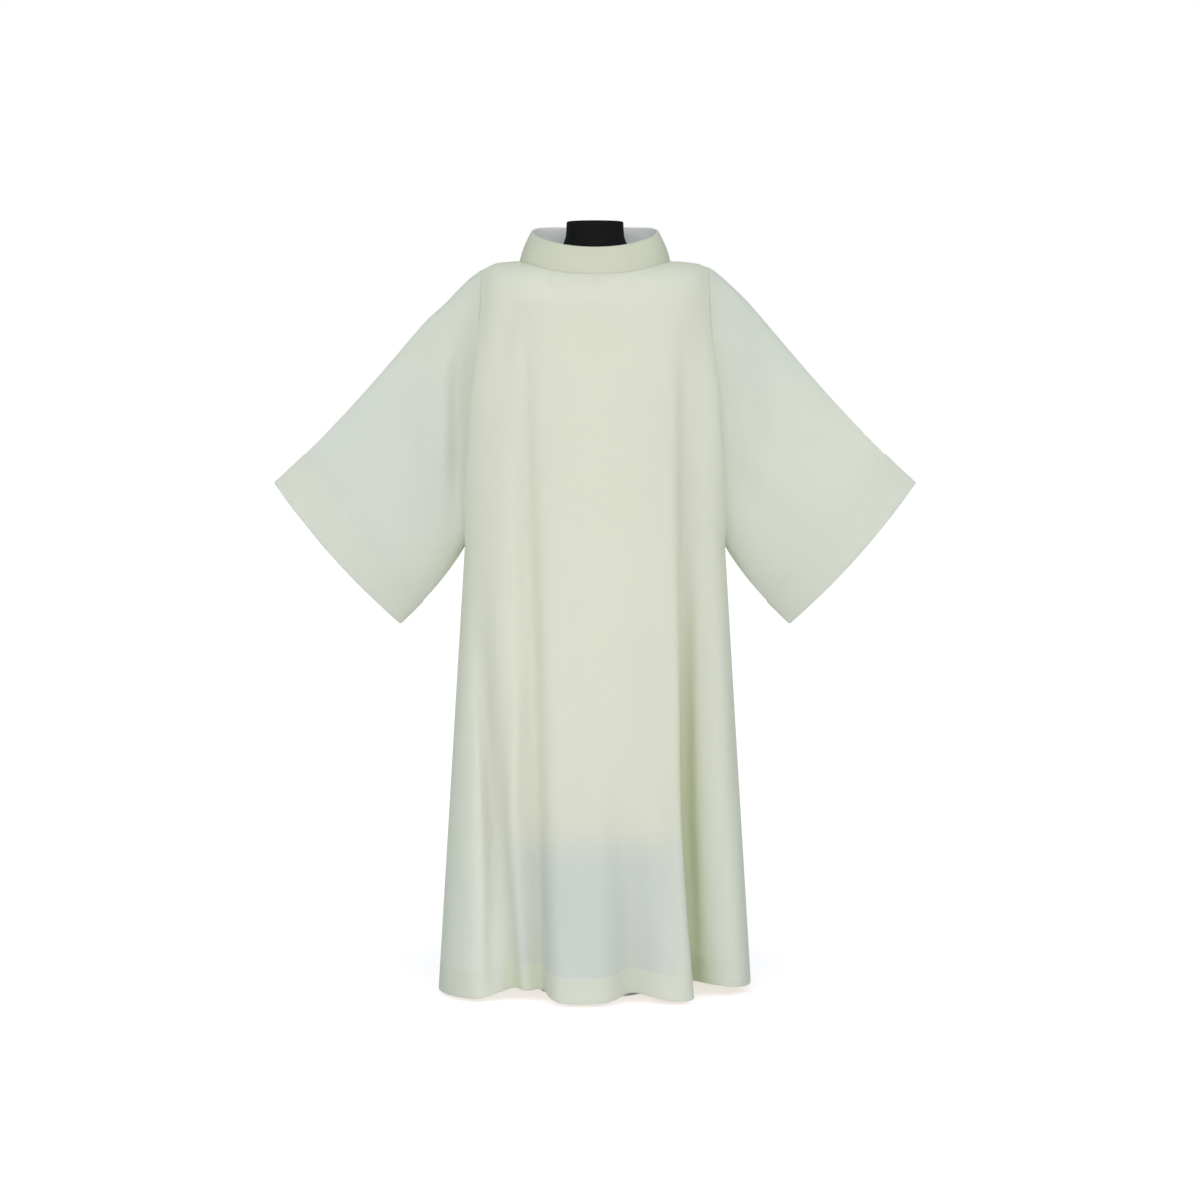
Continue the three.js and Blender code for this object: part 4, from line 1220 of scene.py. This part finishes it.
# The standing part gets a paler painted light.
stand_cloth = build_alb_cloth(
    "alb_cloth_collar_stand", STAND_PAINTED_LIGHT, STAND_PAINTED_LIGHT, STAND_PAINTED_LIGHT, STIFFENED
)
for piece in (front, back):
    piece.data.materials.append(body_cloth)
for piece in (sleeve_left, sleeve_right):
    piece.data.materials.append(sleeve_cloth)
collar.data.materials.append(collar_cloth)
collar.data.materials.append(stand_cloth)
# The part of the collar that stands up is stiffened inside, so hardly any light comes through it.
first_stand_face = COLLAR_SEGMENTS * (COLLAR_FALL_ROWS + COLLAR_FOLD_ROWS // 2)
for face in collar.data.polygons:
    face.material_index = int(face.index >= first_stand_face)
print("alb cloth on 5 pieces")

# %% [markdown]
# ## The form's cover, its cap and the stand
#
# The jersey is a knit, far finer than the eye resolves here, so the same weave group serves with more
# threads. The cap is matt black plastic, and the stand has a satin powder coat, whose orange-peel texture
# is a low noise bump.


# %% The other finishes
JERSEY = (0.94, 0.92, 0.80, 1)
JERSEY_SHADE = (0.91, 0.89, 0.77, 1)
JERSEY_THREADS_PER_METRE = 1100.0
CAP_BLACK = (0.0015, 0.0015, 0.0015, 1)
CAP_BLACK_WORN = (0.0030, 0.0030, 0.0032, 1)
COAT_GREY = (0.64, 0.64, 0.65, 1)
COAT_GREY_WORN = (0.58, 0.58, 0.59, 1)
WORN_ROUGHER = 0.15  # how much rougher a hard finish is where it has the second colour


def build_jersey():
    material, tree, output = new_material("form_jersey")
    place = add_node(tree, "ShaderNodeTexCoord").outputs["Object"]
    mottled = group_node(
        tree,
        MOTTLING,
        {"Colour": JERSEY, "Second colour": JERSEY_SHADE, "Patches per metre": 9.0},
    )
    weave = group_node(tree, WEAVE, {"Position": place, "Threads per metre": JERSEY_THREADS_PER_METRE})
    bump = add_node(
        tree, "ShaderNodeBump", {"Strength": 0.3, "Distance": 0.0003, "Height": weave.outputs["Height"]}
    ).outputs[0]
    surface = add_node(
        tree,
        "ShaderNodeBsdfPrincipled",
        {"Base Color": mottled.outputs["Colour"], "Roughness": 0.9, "Sheen Weight": 0.2, "Normal": bump},
    )
    tree.links.new(surface.outputs[0], output.inputs["Surface"])
    return material


def build_hard_finish(name, colour, second_colour, roughness, grain_per_metre):
    material, tree, output = new_material(name)
    place = add_node(tree, "ShaderNodeTexCoord").outputs["Object"]
    mottled = group_node(
        tree, MOTTLING, {"Colour": colour, "Second colour": second_colour, "Patches per metre": 30.0}
    )
    grain_sockets = {"Vector": place, "Scale": grain_per_metre, "Detail": 2.0}
    grain = add_node(tree, "ShaderNodeTexNoise", grain_sockets).outputs[0]
    bump = add_node(tree, "ShaderNodeBump", {"Strength": 0.4, "Distance": 0.0002, "Height": grain}).outputs[0]
    rough = maths(tree, "ADD", maths(tree, "MULTIPLY", mottled.outputs["Mask"], WORN_ROUGHER), roughness)
    surface = add_node(
        tree,
        "ShaderNodeBsdfPrincipled",
        {
            "Base Color": mottled.outputs["Colour"],
            "Roughness": rough,
            "Specular IOR Level": 0.2,
            "Normal": bump,
        },
    )
    tree.links.new(surface.outputs[0], output.inputs["Surface"])
    return material


form_body.data.materials.append(build_jersey())
form_neck.data.materials.append(build_hard_finish("form_cap_black", CAP_BLACK, CAP_BLACK_WORN, 0.80, 900.0))
powder_coat = build_hard_finish("stand_powder_coat", COAT_GREY, COAT_GREY_WORN, 0.40, 1400.0)
stand_pole.data.materials.append(powder_coat)
stand_foot.data.materials.append(powder_coat)
print("materials:", sorted(m.name for m in bpy.data.materials))

# %% [markdown]
# ## Floor and light
#
# A plain garment needs light that is soft but not flat. Three wide suns stand in front, one in the middle and
# one at each side, and together they model the folds without a hard shadow. Their light is a touch rosy. The
# weak light from all round is cool, so the cloth turns greener and bluer where it faces away from the lamps.
# They are suns because a sun lights the whole floor evenly and leaves no bright pool on it.
#
# A studio sweep is lit apart from the subject until it is pure white. The floor and the world do the same
# here with a Light Path node: they are brighter to the camera than they are to the cloth.

# %% Floor, world and lamps
FLOOR_SIZE = 60.0
FLOOR_WHITE = (0.8, 0.8, 0.8, 1.0)
FLOOR_GLOW = 0.575  # what the sweep's own lamps add
FLOOR_GLOW_COLOUR = (1.0, 0.89, 0.88, 1.0)  # a little warm, to balance the cool light from all round
AMBIENT = 0.405
AMBIENT_COLOUR = (0.66, 0.95, 1.0, 1.0)
WHITE = (1.0, 1.0, 1.0, 1.0)
LAMP_COLOUR = (1.0, 0.91, 0.97)
LAMP_ANGLE = math.radians(50)
LAMPS = (
    # name, place it shines from, strength
    ("front light", (0.0, -4.0, 2.0), 1.12),
    ("left light", (-3.4, -3.4, 2.2), 0.91),
    ("right light", (3.4, -3.4, 2.2), 0.91),
)

half = FLOOR_SIZE / 2
floor_mesh = bpy.data.meshes.new("floor")
floor_corners = [(-half, -half, 0), (half, -half, 0), (half, half, 0), (-half, half, 0)]
floor_mesh.from_pydata(floor_corners, [], [(0, 1, 2, 3)])
floor = bpy.data.objects.new("floor", floor_mesh)
scene.collection.objects.link(floor)
floor_paint, floor_tree, floor_output = new_material("floor_white")
floor_diffuse = add_node(
    floor_tree, "ShaderNodeBsdfPrincipled", {"Base Color": FLOOR_WHITE, "Roughness": 0.9}
)
floor_seen = add_node(floor_tree, "ShaderNodeLightPath").outputs["Is Camera Ray"]
floor_glow = add_node(
    floor_tree,
    "ShaderNodeEmission",
    {"Color": FLOOR_GLOW_COLOUR, "Strength": maths(floor_tree, "MULTIPLY", floor_seen, FLOOR_GLOW)},
)
floor_surface = add_node(
    floor_tree, "ShaderNodeAddShader", {0: floor_diffuse.outputs[0], 1: floor_glow.outputs[0]}
)
floor_tree.links.new(floor_surface.outputs[0], floor_output.inputs["Surface"])
floor.data.materials.append(floor_paint)

world = bpy.data.worlds.new("studio")
scene.world = world
world.use_nodes = True
sky = world.node_tree
sky.nodes.clear()
sky_light = add_node(sky, "ShaderNodeBackground", {"Color": AMBIENT_COLOUR, "Strength": AMBIENT})
sky_white = add_node(sky, "ShaderNodeBackground", {"Color": WHITE, "Strength": 1.0})
seen = add_node(sky, "ShaderNodeLightPath").outputs["Is Camera Ray"]
sky_mix = add_node(sky, "ShaderNodeMixShader", {0: seen, 1: sky_light.outputs[0], 2: sky_white.outputs[0]})
add_node(sky, "ShaderNodeOutputWorld", {"Surface": sky_mix.outputs[0]})
scene.view_settings.view_transform = "Standard"


def soft_sun(name, from_place, strength):
    """A sun that shines from a place towards the origin. The wide angle makes its shadows soft."""
    data = bpy.data.lights.new(name, "SUN")
    data.energy = strength
    data.angle = LAMP_ANGLE
    data.color = LAMP_COLOUR
    light = bpy.data.objects.new(name, data)
    light.rotation_euler = Vector(from_place).to_track_quat("Z", "Y").to_euler()
    light.location = from_place
    scene.collection.objects.link(light)


for name, from_place, strength in LAMPS:
    soft_sun(name, from_place, strength)
print("lamps:", len(bpy.data.lights))

# %% [markdown]
# ## Each piece rides on the body
#
# Every piece rides on the garment's one body and stands for its solid, which is hidden. The cloth has the
# turned-up hem but not the seam allowances, which nobody sees.

# %% Ride and replace
PIECES = (
    (front, "front", "alb_cloth"),
    (back, "back", "alb_cloth"),
    (sleeve_left, "sleeve_left", "alb_cloth"),
    (sleeve_right, "sleeve_right", "alb_cloth"),
    (collar, "collar", "alb_cloth"),
    (form_body, "form_body", "form_cover"),
    (form_neck, "form_neck", "form_neck"),
    (stand_pole, "stand_pole", "stand_metal"),
    (stand_foot, "stand_foot", "stand_metal"),
)
for piece, node, finish_slot in PIECES:
    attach(piece, "root")
    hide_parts(node)

print("declared", len(PIECES), "pieces")
